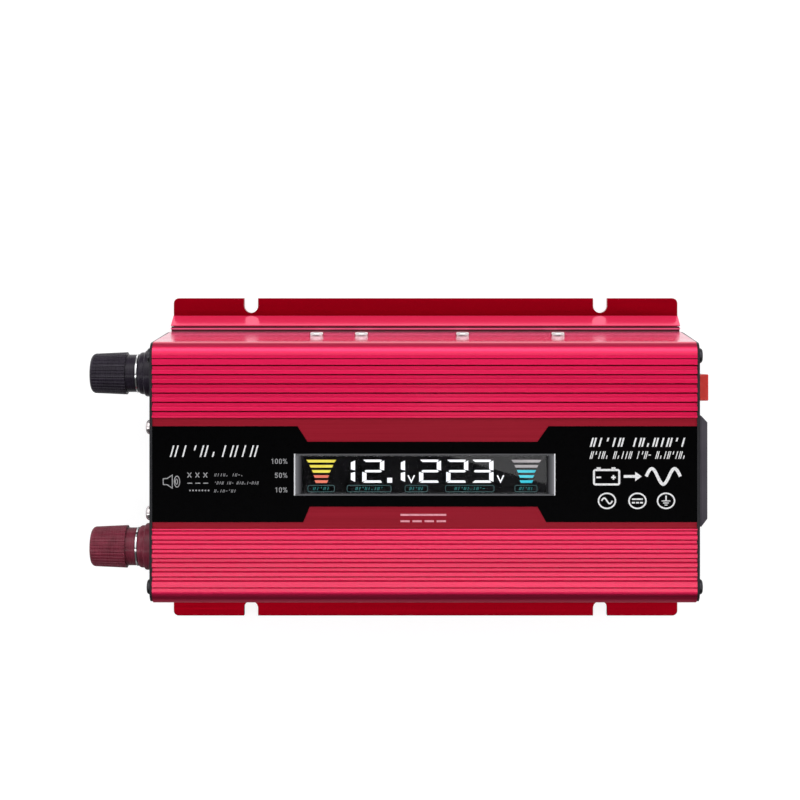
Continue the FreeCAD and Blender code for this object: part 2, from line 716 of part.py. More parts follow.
def clamp_bar(holes):
    """A tapped bar across two transistor tabs."""
    y1 = PAD_FACE_Y - THERMAL_PAD_T - TAB_T
    x = (holes[0] - CLAMP_BAR_END, holes[1] + CLAMP_BAR_END)
    bar = block(x, (y1 - CLAMP_BAR_T, y1), around(CLAMP_SCREW_Z, CLAMP_BAR_W))
    bar = ease(bar, 1.0, lambda e: runs_along(e, 1))
    for x in holes:
        bar = bar.cut(rod((x, y1 - CLAMP_BAR_T - 1, CLAMP_SCREW_Z), (0, 1, 0), M3_BORE_R, CLAMP_BAR_T + 2))
    return bar


# ---- main board ----


def main_board():
    board = block(BOARD_X, (-BOARD_HALF_Y, BOARD_HALF_Y), BOARD_Z)
    board = ease(board, 2.0, lambda e: runs_along(e, 2))
    for x, y in STANDOFF_AT:
        board = board.cut(rod((x, y, BOARD_Z[0] - 1), (0, 0, 1), M3_CLEAR_R, 4))
    leg_y = PAD_FACE_Y - THERMAL_PAD_T - LEG_IN
    for x in CLAMP_SCREW_X:
        for k in (-1, 0, 1):
            board = board.cut(rod((x + LEG_PITCH * k, leg_y, BOARD_Z[0] - 1), (0, 0, 1), LEG_HOLE_R, 4))
    for y in FUSE_Y:
        for k in (-1, 1):
            slot_y = around(y + FUSE_BLADE_AT * k, FUSE_SLOT[1])
            board = board.cut(block(around(FUSE_X, FUSE_SLOT[0]), slot_y, (BOARD_Z[0] - 1, BOARD_TOP + 1)))
    return board


def board_standoffs():
    posts = []
    for x, y in STANDOFF_AT:
        height = BOARD_Z[0] - FLANGE_T
        post = hexagon((x, y, FLANGE_T), (0, 0, 1), STANDOFF_FLATS, height)
        posts.append(post.cut(rod((x, y, FLANGE_T + 1.5), (0, 0, 1), M3_BORE_R, height)))
    return group(posts)


def board_screws():
    return group([pan_screw((x, y, BOARD_TOP), (0, 0, 1), BOARD_SCREW_L) for x, y in STANDOFF_AT])


def transformer_core(cx, cy):
    """A ferrite frame with a centre leg, standing on its long side."""
    low, high = BOARD_TOP + CORE_Z[0], BOARD_TOP + CORE_Z[1]
    core = block(around(cx, CORE_SIZE[0]), around(cy, CORE_SIZE[1]), (low, high))
    for side in (-1, 1):
        hole_x = sorted((cx + side * CORE_WINDOW_X[0], cx + side * CORE_WINDOW_X[1]))
        core = core.cut(block(hole_x, around(cy, CORE_SIZE[1] + 2), (low + CORE_YOKE, high - CORE_YOKE)))
    return ease(core, 0.6, lambda e: runs_along(e, 1))


def transformer_winding(cx, cy):
    """The wound bobbin on the centre leg, with its pin rail on the board."""
    low, high = BOARD_TOP + COIL_Z[0], BOARD_TOP + COIL_Z[1]
    coil = block(around(cx, COIL_SIZE[0]), around(cy, COIL_SIZE[1]), (low, high))
    coil = ease(coil, COIL_CORNER_R, lambda e: runs_along(e, 2))
    coil = coil.cut(block(around(cx, COIL_BORE[0]), around(cy, COIL_BORE[1]), (low - 1, high + 1)))
    rails = []
    for side in (-1, 1):
        rail_y = around(cy + side * COIL_RAIL_AT, COIL_RAIL[1])
        rails.append(block(around(cx, COIL_RAIL[0]), rail_y, (BOARD_TOP, low + 0.5)))
    return fuse([coil] + rails)


def can_capacitor(cx, cy, r, height):
    """An upright electrolytic can with a rolled groove near its foot."""
    can = rod((cx, cy, BOARD_TOP), (0, 0, 1), r, height)
    can = ease(can, 0.8, lambda e: middle(e).z > BOARD_TOP + height - 0.01)
    groove = Part.makeTorus(r + 0.6, CAN_GROOVE_R, vec(cx, cy, BOARD_TOP + CAN_GROOVE_Z))
    return can.cut(groove)


def output_choke():
    """A wound ring lying on the board."""
    ring = rod((*CHOKE_AT, BOARD_TOP), (0, 0, 1), CHOKE_R[1], CHOKE_H)
    ring = ring.cut(rod((*CHOKE_AT, BOARD_TOP - 1), (0, 0, 1), CHOKE_R[0], CHOKE_H + 2))
    return ease(ring, CHOKE_ROUND, lambda e: isinstance(e.Curve, Part.Circle))


def blade_fuse(y):
    """A flat moulded fuse on two blades soldered through the board."""
    body_z = (BOARD_TOP + FUSE_BODY_Z[0], BOARD_TOP + FUSE_BODY_Z[1])
    body = block(around(FUSE_X, FUSE_BODY[0]), around(y, FUSE_BODY[1]), body_z)
    body = ease(body, 0.7, lambda e: runs_along(e, 2))
    notch = block(FUSE_NOTCH_X, around(y, FUSE_NOTCH_W), (BOARD_TOP + FUSE_NOTCH_Z, body_z[1] + 1))
    blades = []
    for k in (-1, 1):
        blade_y = around(y + FUSE_BLADE_AT * k, FUSE_BLADE[1])
        blades.append(block(around(FUSE_X, FUSE_BLADE[0]), blade_y, (BOARD_Z[0] - 1, body_z[0] + 1)))
    return fuse([body.cut(notch)] + blades)


def buzzer():
    body = rod((*BUZZER_AT, BOARD_TOP), (0, 0, 1), BUZZER_R, BUZZER_H)
    body = ease(body, 0.6, lambda e: middle(e).z > BOARD_TOP + BUZZER_H - 0.1)
    return body.cut(rod((*BUZZER_AT, BOARD_TOP + BUZZER_H - 3), (0, 0, 1), BUZZER_HOLE_R, 5))


# ---- terminals ----


def terminal_collar(y):
    """A stepped insulating collar, and its sleeve through the end plate."""
    foot = rod((-PLATE_OUT, y, TERMINAL_Z), (-1, 0, 0), COLLAR_FOOT_R, COLLAR_FOOT_L)
    foot = ease(foot, 0.9, lambda e: middle(e).x < -PLATE_OUT - COLLAR_FOOT_L + 0.01)
    length = -COLLAR_X - PLATE_OUT
    step = rod((-PLATE_OUT, y, TERMINAL_Z), (-1, 0, 0), COLLAR_STEP_R, length)
    step = ease(step, 1.5, lambda e: middle(e).x < COLLAR_X + 0.01)
    sleeve = rod((SLEEVE_INNER_X, y, TERMINAL_Z), (-1, 0, 0), SLEEVE_R, SLEEVE_L)
    collar = fuse([foot, step, sleeve])
    return collar.cut(rod((-90, y, TERMINAL_Z), (-1, 0, 0), STUD_BORE_R, 30))


def terminal_stud(y):
    """A plain brass stud with chamfered ends."""
    length = STUD_INNER_X - STUD_TIP_X
    stud = rod((STUD_INNER_X, y, TERMINAL_Z), (-1, 0, 0), STUD_R, length)
    return stud.makeChamfer(STUD_CHAMFER, [e for e in stud.Edges if isinstance(e.Curve, Part.Circle)])


def terminal_washer(y):
    start = (COLLAR_X - STACK_GAP, y, TERMINAL_Z)
    washer = rod(start, (-1, 0, 0), WASHER_R, WASHER_T)
    return washer.cut(rod((COLLAR_X + 1, y, TERMINAL_Z), (-1, 0, 0), STUD_BORE_R, 4))


def terminal_knob(y):
    """A tapered, fluted knob with a plain neck and a blind threaded bore."""
    neck_x = COLLAR_X - 2 * STACK_GAP - WASHER_T
    grip_x = neck_x - NECK_L
    grip_l = grip_x - KNOB_TIP_X
    neck = rod((neck_x, y, TERMINAL_Z), (-1, 0, 0), NECK_R, NECK_L + 1)
    neck = ease(neck, 0.5, lambda e: middle(e).x > neck_x - 0.01)
    grip = Part.makeCone(KNOB_R, KNOB_TIP_R, grip_l, vec(grip_x, y, TERMINAL_Z), vec(-1, 0, 0))
    grip = ease(grip, KNOB_TIP_ROUND, lambda e: middle(e).x < KNOB_TIP_X + 0.01)
    lean = math.atan2(KNOB_R - KNOB_TIP_R, grip_l)
    flutes = []
    for k in range(KNOB_FLUTES):
        angle = 2 * math.pi * k / KNOB_FLUTES
        out_y, out_z = math.cos(angle), math.sin(angle)
        start = (grip_x + 1, y + FLUTE_CENTRE_R * out_y, TERMINAL_Z + FLUTE_CENTRE_R * out_z)
        along = (-math.cos(lean), -math.sin(lean) * out_y, -math.sin(lean) * out_z)
        flutes.append(rod(start, along, FLUTE_R, grip_l + 3))
    knob = neck.fuse(grip.cut(flutes))
    dish = rod((KNOB_TIP_X - 1, y, TERMINAL_Z), (1, 0, 0), KNOB_TIP_R - KNOB_DISH_RIM, KNOB_DISH_DEPTH)
    bore = rod((neck_x + 1, y, TERMINAL_Z), (-1, 0, 0), STUD_BORE_R, neck_x - STUD_TIP_X + 2.0)
    return knob.cut(dish).cut(bore)


def terminal_nut(y):
    """The hexagonal nut that pulls the busbar against the collar's sleeve."""
    start = (SLEEVE_INNER_X + BUSBAR_T, y, TERMINAL_Z)
    nut = hexagon(start, (1, 0, 0), NUT_FLATS, NUT_H)
    return nut.cut(rod((SLEEVE_INNER_X, y, TERMINAL_Z), (1, 0, 0), STUD_R, 12))


def busbar(y):
    """A copper strip from the stud down to the main board."""
    width = around(y, BUSBAR_W)
    upright = block((SLEEVE_INNER_X, SLEEVE_INNER_X + BUSBAR_T), width, (BOARD_TOP, TERMINAL_Z + BUSBAR_OVER))
    upright = ease(upright, BUSBAR_CORNER_R, lambda e: runs_along(e, 0) and middle(e).z > TERMINAL_Z)
    foot = block((SLEEVE_INNER_X, BUSBAR_FOOT_X), width, (BOARD_TOP, BOARD_TOP + BUSBAR_T))
    hole = rod((SLEEVE_INNER_X - 1, y, TERMINAL_Z), (1, 0, 0), STUD_R + 0.2, 4)
    return fuse([upright, foot]).cut(hole)


# ---- fan ----


def fan_frame():
    x = (-END_X, -END_X + FAN_DEPTH)
    frame = block(x, around(FAN_Y, FAN_SIZE), around(FAN_Z, FAN_SIZE))
    frame = ease(frame, FAN_CORNER_R, lambda e: runs_along(e, 0))
    frame = frame.cut(rod((x[0] - 1, FAN_Y, FAN_Z), (1, 0, 0), FAN_BORE_R, FAN_DEPTH + 2))
    spider_x = (x[1] - SPIDER_T, x[1])
    parts = [rod((spider_x[0], FAN_Y, FAN_Z), (1, 0, 0), FAN_HUB_R + 0.4, SPIDER_T)]
    for turn in (0, 120, 240):
        arm = block(spider_x, around(0, SPIDER_ARM_W), (FAN_HUB_R - 1, FAN_BORE_R + 0.5))
        arm.rotate(vec(0, 0, 0), vec(1, 0, 0), turn)
        arm.translate(vec(0, FAN_Y, FAN_Z))
        parts.append(arm)
    parts.append(rod((x[1] - FAN_BOSS_L, FAN_Y, FAN_Z), (1, 0, 0), FAN_BOSS_R, FAN_BOSS_L))
    frame = fuse([frame] + parts)
    for y, z in fan_screw_places():
        frame = frame.cut(rod((x[0] - 1, y, z), (1, 0, 0), M3_BORE_R, FAN_DEPTH + 2))
    return frame.cut(rod((x[0] - 1, FAN_Y, FAN_Z), (1, 0, 0), BEARING_R, FAN_DEPTH + 2))


def fan_blade():
    """One pitched blade, standing up from the hub along Z."""
    blade = block(around(0, FAN_BLADE_CHORD), around(0, FAN_BLADE_T), (FAN_HUB_R - 0.6, FAN_TIP_R + 2))
    blade.rotate(vec(0, 0, 0), vec(0, 0, 1), FAN_BLADE_PITCH)
    return blade


def fan_rotor():
    x0 = -END_X + FAN_HUB_IN
    hub = rod((x0, 0, 0), (1, 0, 0), FAN_HUB_R, FAN_HUB_L)
    hub = ease(hub, 1.0, lambda e: middle(e).x < x0 + 0.01)
    hub = hub.cut(rod((x0 + FAN_HUB_WALL, 0, 0), (1, 0, 0), FAN_HUB_R - 1.0, FAN_HUB_L))
    shaft = rod((x0 + 0.6, 0, 0), (1, 0, 0), SHAFT_R, FAN_DEPTH - 2.2)
    blades = []
    for k in range(FAN_BLADES):
        blade = fan_blade()
        blade.translate(vec(x0 + FAN_HUB_L / 2, 0, 0))
        blade.rotate(vec(0, 0, 0), vec(1, 0, 0), 360 / FAN_BLADES * k)
        blades.append(blade)
    reach = rod((x0 - 2, 0, 0), (1, 0, 0), FAN_TIP_R, FAN_DEPTH + 4)
    hollow = rod((x0 - 2, 0, 0), (1, 0, 0), FAN_HUB_R - 0.5, FAN_DEPTH + 4)
    vanes = [b.common(reach).cut(hollow) for b in blades]
    rotor = hub.fuse([shaft] + vanes)
    rotor.translate(vec(0, FAN_Y, FAN_Z))
    return rotor


def fan_screws():
    places = [(-PLATE_OUT, y, z) for y, z in fan_screw_places()]
    return group([pan_screw(place, (-1, 0, 0), FAN_SCREW_L, HEAD_R, FAN_HEAD_H) for place in places])


# ---- rocker switch ----


def switch_body():
    """The bezel and the snap-in housing, hollow for the rocker."""
    bezel = block((PLATE_OUT, PLATE_OUT + BEZEL_T), around(SWITCH_Y, BEZEL_Y), around(SWITCH_Z, BEZEL_Z))
    bezel = ease(bezel, 1.6, lambda e: runs_along(e, 0))
    bezel = ease(bezel, 0.7, lambda e: middle(e).x > PLATE_OUT + BEZEL_T - 0.01)
    body_y, body_z = SWITCH_BODY
    house = block((SWITCH_BACK_X, PLATE_OUT + 0.5), around(SWITCH_Y, body_y), around(SWITCH_Z, body_z))
    well_y, well_z = ROCKER_WINDOW
    well = block((SWITCH_BACK_X + 2.0, PLATE_OUT + 5), around(SWITCH_Y, well_y), around(SWITCH_Z, well_z))
    body = bezel.fuse(house).cut(well)
    start = (ROCKER_PIVOT_X, SWITCH_Y - PIVOT_HOLE_L / 2, SWITCH_Z)
    pin_hole = rod(start, (0, 1, 0), PIVOT_HOLE_R, PIVOT_HOLE_L)
    return body.cut(pin_hole).removeSplitter()


def switch_rocker():
    """A shallow V-faced rocker on two pivot pins, tilted with its upper half out."""
    px = ROCKER_PIVOT_X
    reach = px + ROCKER_REACH
    (shoulder, shoulder_z), (keel, keel_z) = ROCKER_SHOULDER, ROCKER_KEEL
    line = [(reach, ROCKER_FACE_HALF), (px + ROCKER_DIP, 0.0), (reach, -ROCKER_FACE_HALF)]
    line += [(px - shoulder, -shoulder_z), (px - keel, -keel_z)]
    line += [(px - keel, keel_z), (px - shoulder, shoulder_z)]
    body = side_view(line, -ROCKER_W / 2, ROCKER_W / 2)
    body = ease(body, 0.7, lambda e: runs_along(e, 1) and abs(middle(e).z) > ROCKER_FACE_HALF - 0.4)
    body = ease(body, 0.35, lambda e: abs(abs(middle(e).y) - ROCKER_W / 2) < 0.01 and middle(e).x > px + 3)
    pins = rod((px, -PIVOT_PIN_L / 2, 0), (0, 1, 0), PIVOT_PIN_R, PIVOT_PIN_L)
    rocker = body.fuse(pins)
    rocker.rotate(vec(px, 0, 0), vec(0, 1, 0), ROCKER_TILT)
    rocker.translate(vec(0, SWITCH_Y, SWITCH_Z))
    return rocker


def switch_tabs():
    tabs = []
    length, thick, width = SWITCH_TAB
    hole_in, hole_r = SWITCH_TAB_HOLE
    for z in (SWITCH_Z - SWITCH_TAB_Z, SWITCH_Z + SWITCH_TAB_Z):
        tab = block((SWITCH_BACK_X - length, SWITCH_BACK_X), around(SWITCH_Y, thick), around(z, width))
        hole = rod((SWITCH_BACK_X - hole_in, SWITCH_Y - 2, z), (0, 1, 0), hole_r, 4)
        tabs.append(tab.cut(hole))
    return group(tabs)


# ---- outlet ----


def live_slots(side, x0, x1):
    """One live or neutral opening: an upright blade slot, a round pin hole and a wide pin slot."""
    blade = block((x0, x1), around(side * BLADE_SLOT_Y, BLADE_SLOT[0]), around(LIVE_Z, BLADE_SLOT[1]))
    pin = block((x0, x1), around(side * LIVE_Y, PIN_SLOT[0]), around(LIVE_Z, PIN_SLOT[1]))
    hole = rod((x0, side * PIN_HOLE_Y, LIVE_Z), (1, 0, 0), PIN_HOLE_R, x1 - x0)
    return [blade, pin, hole]


def outlet_face():
    """A square moulding with bevelled edges and a raised step, pierced by three openings."""
    half = OUTLET_SIZE / 2
    x0, x1 = PLATE_OUT, PLATE_OUT + OUTLET_T
    face = block((x0, x1), (-half, half), around(OUTLET_Z, OUTLET_SIZE))
    front = [e for e in face.Edges if middle(e).x > x1 - 0.01]
    face = face.makeChamfer(OUTLET_BEVEL, front)
    seam = half - OUTLET_BEVEL - SEAM_IN
    ring = block((x1 - SEAM_DEPTH, x1 + 1), (-seam, seam), around(OUTLET_Z, 2 * seam))
    seam_in = seam - SEAM_W
    ring = ring.cut(block((x1 - 1, x1 + 2), (-seam_in, seam_in), around(OUTLET_Z, 2 * seam_in)))
    face = face.cut(ring)
    cutters = live_slots(-1, x0 - 1, x1 + 1) + live_slots(1, x0 - 1, x1 + 1)
    cutters.append(block((x0 - 1, x1 + 1), around(0, EARTH_SLOT[0]), around(EARTH_Z, EARTH_SLOT[1])))
    for cutter in cutters:
        face = face.cut(cutter)
    return face


def outlet_housing():
    """The box behind the outlet's face, open at the front."""
    size, wall = OUTLET_BODY, OUTLET_WALL
    house = block((OUTLET_BACK_X, PLATE_OUT), around(0, size), around(OUTLET_Z, size))
    inner = size - 2 * wall
    room = block((OUTLET_BACK_X + wall, PLATE_OUT + 1), around(0, inner), around(OUTLET_Z, inner))
    return house.cut(room)


def spring_contact(cy, cz, gap_y, gap_z, across_y):
    """Two leaves either side of a pin, joined at the back. across_y puts the leaves at the sides."""
    back = OUTLET_BACK_X + OUTLET_WALL
    leaf_x = (back, PLATE_OUT - 2.0)
    parts = []
    if across_y:
        width = around(cz, gap_z)
        for k in (-1, 1):
            leaf = around(cy + k * (gap_y / 2 + CONTACT_T / 2), CONTACT_T)
            parts.append(block(leaf_x, leaf, width))
        parts.append(block((back, back + CONTACT_T), around(cy, gap_y + 2 * CONTACT_T), width))
    else:
        width = around(cy, gap_y)
        for k in (-1, 1):
            leaf = around(cz + k * (gap_z / 2 + CONTACT_T / 2), CONTACT_T)
            parts.append(block(leaf_x, width, leaf))
        parts.append(block((back, back + CONTACT_T), width, around(cz, gap_z + 2 * CONTACT_T)))
    return fuse(parts)


def outlet_contacts():
    pieces = [spring_contact(side * LIVE_Y, LIVE_Z, *LIVE_GAP, False) for side in (-1, 1)]
    pieces.append(spring_contact(0, EARTH_Z, *EARTH_GAP, True))
    return group(pieces)


# ---- USB port ----


def usb_shell():
    y, z = USB_SHELL
    shell = block(USB_X, around(USB_Y, y), around(USB_Z, z))
    shell = ease(shell, 0.5, lambda e: runs_along(e, 0))
    inner_y, inner_z = y - 2 * USB_WALL, z - 2 * USB_WALL
    inside_x = (USB_X[0] + USB_BACK_WALL, USB_X[1] + 1)
    return shell.cut(block(inside_x, around(USB_Y, inner_y), around(USB_Z, inner_z)))


def usb_tongue():
    x = (USB_X[0] + USB_BACK_WALL, USB_X[1] - USB_TONGUE_BACK)
    return block(x, around(USB_Y, USB_TONGUE_W), (USB_Z + USB_TONGUE_Z[0], USB_Z + USB_TONGUE_Z[1]))


def usb_board():
    top = USB_Z - USB_SHELL[1] / 2
    return block(USB_BOARD_X, around(USB_Y, USB_BOARD_W), (top - USB_BOARD_T, top))


# ---- the whole set ----


def all_nodes():
    nodes = {
        "base_tray": base_tray(),
        "top_cover": top_cover(),
        "dc_end_plate": dc_end_plate(),
        "ac_end_plate": ac_end_plate(),
        "dc_plate_screws": corner_screws(-1),
        "ac_plate_screws": corner_screws(1),
        "label_overlay": label_overlay(),
        "display_bezel": display_bezel(),
        "display_window": display_window(),
        "lcd_glass": lcd_glass(),
        "lcd_backlight": lcd_backlight(),
        "display_board": display_board(),
        "display_spacers": display_spacers(),
        "display_screws": display_screws(),
        "display_ribbon": display_ribbon(),
        "clamp_screws": clamp_screws(),
        "thermal_pad": thermal_pad(),
        "clamp_bars": group([clamp_bar(CLAMP_SCREW_X[:2]), clamp_bar(CLAMP_SCREW_X[2:])]),
        "main_board": main_board(),
        "board_standoffs": board_standoffs(),
        "board_screws": board_screws(),
        "bus_capacitor": can_capacitor(*BUS_CAPACITOR_AT, *BUS_CAPACITOR),
        "output_choke": output_choke(),
        "buzzer": buzzer(),
        "fan_frame": fan_frame(),
        "fan_rotor": fan_rotor(),
        "fan_screws": fan_screws(),
        "switch_body": switch_body(),
        "switch_rocker": switch_rocker(),
        "switch_tabs": switch_tabs(),
        "outlet_face": outlet_face(),
        "outlet_housing": outlet_housing(),
        "outlet_contacts": outlet_contacts(),
        "usb_shell": usb_shell(),
        "usb_tongue": usb_tongue(),
        "usb_board": usb_board(),
    }
    for k, x in enumerate(CLAMP_SCREW_X):
        nodes[f"transistor_{k + 1}"] = transistor(x)
    for k, cx in enumerate(TRANSFORMER_X):
        nodes[f"transformer_core_{k + 1}"] = transformer_core(cx, TRANSFORMER_Y)
        nodes[f"transformer_winding_{k + 1}"] = transformer_winding(cx, TRANSFORMER_Y)
    for k, y in enumerate(INPUT_CAPACITOR_Y):
        nodes[f"input_capacitor_{k + 1}"] = can_capacitor(INPUT_CAPACITOR_X, y, *INPUT_CAPACITOR)
    for k, y in enumerate(FUSE_Y):
        nodes[f"blade_fuse_{k + 1}"] = blade_fuse(y)
    for pole, y in TERMINAL_Y.items():
        nodes[f"{pole}_collar"] = terminal_collar(y)
        nodes[f"{pole}_stud"] = terminal_stud(y)
        nodes[f"{pole}_washer"] = terminal_washer(y)
        nodes[f"{pole}_knob"] = terminal_knob(y)
        nodes[f"{pole}_nut"] = terminal_nut(y)
        nodes[f"{pole}_busbar"] = busbar(y)
    return nodes


def main():
    os.makedirs("parts", exist_ok=True)
    for name, shape in all_nodes().items():
        shape.exportStep(f"parts/{name}.step")
        print(name, len(shape.Solids), "solid(s)", "valid" if shape.isValid() else "NOT VALID")


main()
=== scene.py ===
import json
import math

import bmesh
import bpy
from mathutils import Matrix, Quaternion, Vector
from mathutils.bvhtree import BVHTree


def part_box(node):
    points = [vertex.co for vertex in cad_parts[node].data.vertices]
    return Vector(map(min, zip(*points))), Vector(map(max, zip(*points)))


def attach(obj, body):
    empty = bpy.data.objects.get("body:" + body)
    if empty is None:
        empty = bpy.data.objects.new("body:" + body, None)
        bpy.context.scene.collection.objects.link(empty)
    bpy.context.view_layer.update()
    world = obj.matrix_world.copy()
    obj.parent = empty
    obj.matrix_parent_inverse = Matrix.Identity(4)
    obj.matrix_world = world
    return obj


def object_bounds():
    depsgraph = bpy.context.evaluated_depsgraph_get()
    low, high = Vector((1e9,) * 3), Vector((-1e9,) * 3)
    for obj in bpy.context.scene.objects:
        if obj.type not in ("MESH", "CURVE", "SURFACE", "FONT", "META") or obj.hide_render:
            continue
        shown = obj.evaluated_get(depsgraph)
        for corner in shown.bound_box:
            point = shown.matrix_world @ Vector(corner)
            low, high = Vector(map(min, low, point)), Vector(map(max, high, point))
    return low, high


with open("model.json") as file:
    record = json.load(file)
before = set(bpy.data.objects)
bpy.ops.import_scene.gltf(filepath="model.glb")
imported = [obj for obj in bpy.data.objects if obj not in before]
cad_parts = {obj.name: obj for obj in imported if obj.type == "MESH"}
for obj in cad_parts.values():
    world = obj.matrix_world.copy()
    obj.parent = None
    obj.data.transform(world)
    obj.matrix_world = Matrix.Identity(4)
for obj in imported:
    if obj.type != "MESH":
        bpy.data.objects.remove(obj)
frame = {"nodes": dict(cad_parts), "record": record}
cad_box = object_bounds()

MM = 0.001
SCENE = bpy.context.scene

# ---------------------------------------------------------------- camera and studio

EYE = Vector((4.3, 78.4, 719.0)) * MM
LENS = 81.15  # mm, on a 36 mm sensor
LENS_SHIFT = (-0.0455, -0.1756)


def add_camera():
    """Looks straight down from above the rear side, with the lens shifted to bring the object into view."""
    data = bpy.data.cameras.new("camera")
    data.sensor_width = 36.0
    data.lens = LENS
    data.shift_x, data.shift_y = LENS_SHIFT
    camera = bpy.data.objects.new("camera", data)
    camera.location = EYE
    SCENE.collection.objects.link(camera)
    SCENE.camera = camera


def add_softbox(name, place, aim, width, depth, power, turn=0.0):
    """A rectangular lamp aimed at a point, and turned about its own axis by that many degrees."""
    data = bpy.data.lights.new(name, "AREA")
    data.shape = "RECTANGLE"
    data.size = width
    data.size_y = depth
    data.energy = power
    lamp = bpy.data.objects.new(name, data)
    lamp.location = place
    lamp.rotation_mode = "QUATERNION"
    aimed = (Vector(place) - Vector(aim)).to_track_quat("Z", "Y")
    lamp.rotation_quaternion = aimed @ Quaternion((0.0, 0.0, 1.0), math.radians(turn))
    SCENE.collection.objects.link(lamp)


# How bright the room is from front (-1) to rear (+1): a dark front, a strip of light overhead on
# the front side, a dark band where the camera hangs, and a wide bright rear.
ROOM = ((-1.0, 0.03), (-0.34, 0.03), (-0.31, 0.80), (-0.150, 0.80), (-0.144, 0.006), (-0.02, 0.006),
        (0.05, 0.30), (0.35, 0.38), (0.72, 0.38), (0.90, 0.14), (1.0, 0.14))
ROOM_STRENGTH = 3.2
ROOM_BLUE = 1.01


def add_sky():
    world = bpy.data.worlds.new("studio")
    world.use_nodes = True
    tree = world.node_tree
    place = tree.nodes.new("ShaderNodeTexCoord")
    split = tree.nodes.new("ShaderNodeSeparateXYZ")
    spread = tree.nodes.new("ShaderNodeMapRange")
    spread.inputs["From Min"].default_value = -1.0
    ramp = tree.nodes.new("ShaderNodeValToRGB")
    elements = ramp.color_ramp.elements
    for rearward, _ in ROOM[1:-1]:
        elements.new((rearward + 1.0) / 2.0)
    for element, (_, level) in zip(elements, ROOM):
        element.color = (level, level, level * ROOM_BLUE, 1.0)
    tree.links.new(place.outputs["Generated"], split.inputs[0])
    tree.links.new(split.outputs["Y"], spread.inputs["Value"])
    tree.links.new(spread.outputs[0], ramp.inputs[0])
    tree.links.new(ramp.outputs[0], tree.nodes["Background"].inputs["Color"])
    tree.nodes["Background"].inputs["Strength"].default_value = ROOM_STRENGTH
    SCENE.world = world


# ---------------------------------------------------------------- materials


EVEN = (1.0, 1.0, 1.0)  # no stretch


class Recipe:
    """A procedural material while its nodes are being joined up."""

    def __init__(self, name, **sockets):
        self.material = bpy.data.materials.new(name)
        self.material.use_nodes = True
        self.tree = self.material.node_tree
        self.bsdf = self.tree.nodes["Principled BSDF"]
        coordinates = self.tree.nodes.new("ShaderNodeTexCoord")
        self.place = coordinates.outputs["Object"]
        self.direction = coordinates.outputs["Normal"]
        self.shader(**sockets)

    def shader(self, **sockets):
        """Sets or joins the Principled shader's sockets, named with _ for a space."""
        for name, value in sockets.items():
            self.feed(self.bsdf.inputs[name.replace("_", " ")], value)

    def feed(self, socket, value):
        if isinstance(value, bpy.types.NodeSocket):
            self.tree.links.new(value, socket)
        elif socket.type == "RGBA" and len(value) == 3:
            socket.default_value = (*value, 1.0)
        else:
            socket.default_value = value

    def maths(self, operation, a, b=0.0):
        node = self.tree.nodes.new("ShaderNodeMath")
        node.operation = operation
        self.feed(node.inputs[0], a)
        self.feed(node.inputs[1], b)
        return node.outputs[0]

    def split(self, vector, letter):
        node = self.tree.nodes.new("ShaderNodeSeparateXYZ")
        self.feed(node.inputs[0], vector)
        return node.outputs[letter.upper()]

    def axis(self, letter):
        """One coordinate of the surface point, in metres."""
        return self.split(self.place, letter)

    def facing(self, letter):
        """How far the surface faces along one axis, from -1 to 1."""
        return self.split(self.direction, letter)

    def stretched(self, scale):
        mapping = self.tree.nodes.new("ShaderNodeMapping")
        self.feed(mapping.inputs["Vector"], self.place)
        mapping.inputs["Scale"].default_value = scale
        return mapping.outputs[0]

    def noise(self, grain, stretch=EVEN, detail=2.0, roughness=0.5):
        """Cloudy noise whose lumps are about 1 / grain metres across."""
        node = self.tree.nodes.new("ShaderNodeTexNoise")
        self.feed(node.inputs["Vector"], self.stretched([grain * s for s in stretch]))
        node.inputs["Scale"].default_value = 1.0
        node.inputs["Detail"].default_value = detail
        node.inputs["Roughness"].default_value = roughness
        return node.outputs["Fac"]

    def cells(self, grain):
        """Rounded cells about 1 / grain metres across."""
        node = self.tree.nodes.new("ShaderNodeTexVoronoi")
        self.feed(node.inputs["Vector"], self.stretched([grain] * 3))
        node.inputs["Scale"].default_value = 1.0
        return node.outputs["Distance"]

    def stripes(self, direction, pitch, wobble=0.0):
        """Soft bands across one axis, one every pitch metres."""
        node = self.tree.nodes.new("ShaderNodeTexWave")
        node.bands_direction = direction
        self.feed(node.inputs["Vector"], self.place)
        node.inputs["Scale"].default_value = math.pi / (10.0 * pitch)
        node.inputs["Distortion"].default_value = wobble
        return node.outputs["Fac"]

    def ramp(self, fac, low, high, start=0.0, end=1.0):
        """Turns a value into a number or a colour between low and high."""
        if isinstance(low, (int, float)):
            node = self.tree.nodes.new("ShaderNodeMapRange")
            self.feed(node.inputs["Value"], fac)
            node.inputs["From Min"].default_value = start
            node.inputs["From Max"].default_value = end
            node.inputs["To Min"].default_value = low
            node.inputs["To Max"].default_value = high
            return node.outputs[0]
        node = self.tree.nodes.new("ShaderNodeValToRGB")
        self.feed(node.inputs[0], fac)
        for element, position, colour in zip(node.color_ramp.elements, (start, end), (low, high)):
            element.position = position
            element.color = (*colour, 1.0)
        return node.outputs[0]

    def mix(self, fac, a, b):
        node = self.tree.nodes.new("ShaderNodeMix")
        node.data_type = "RGBA"
        self.feed(node.inputs[0], fac)
        self.feed(node.inputs[6], a)
        self.feed(node.inputs[7], b)
        return node.outputs[2]

    def relief(self, height, depth):
        """Bumps of about that many metres."""
        node = self.tree.nodes.new("ShaderNodeBump")
        node.inputs["Strength"].default_value = 1.0
        node.inputs["Distance"].default_value = depth
        self.feed(node.inputs["Height"], height)
        self.shader(Normal=node.outputs[0])


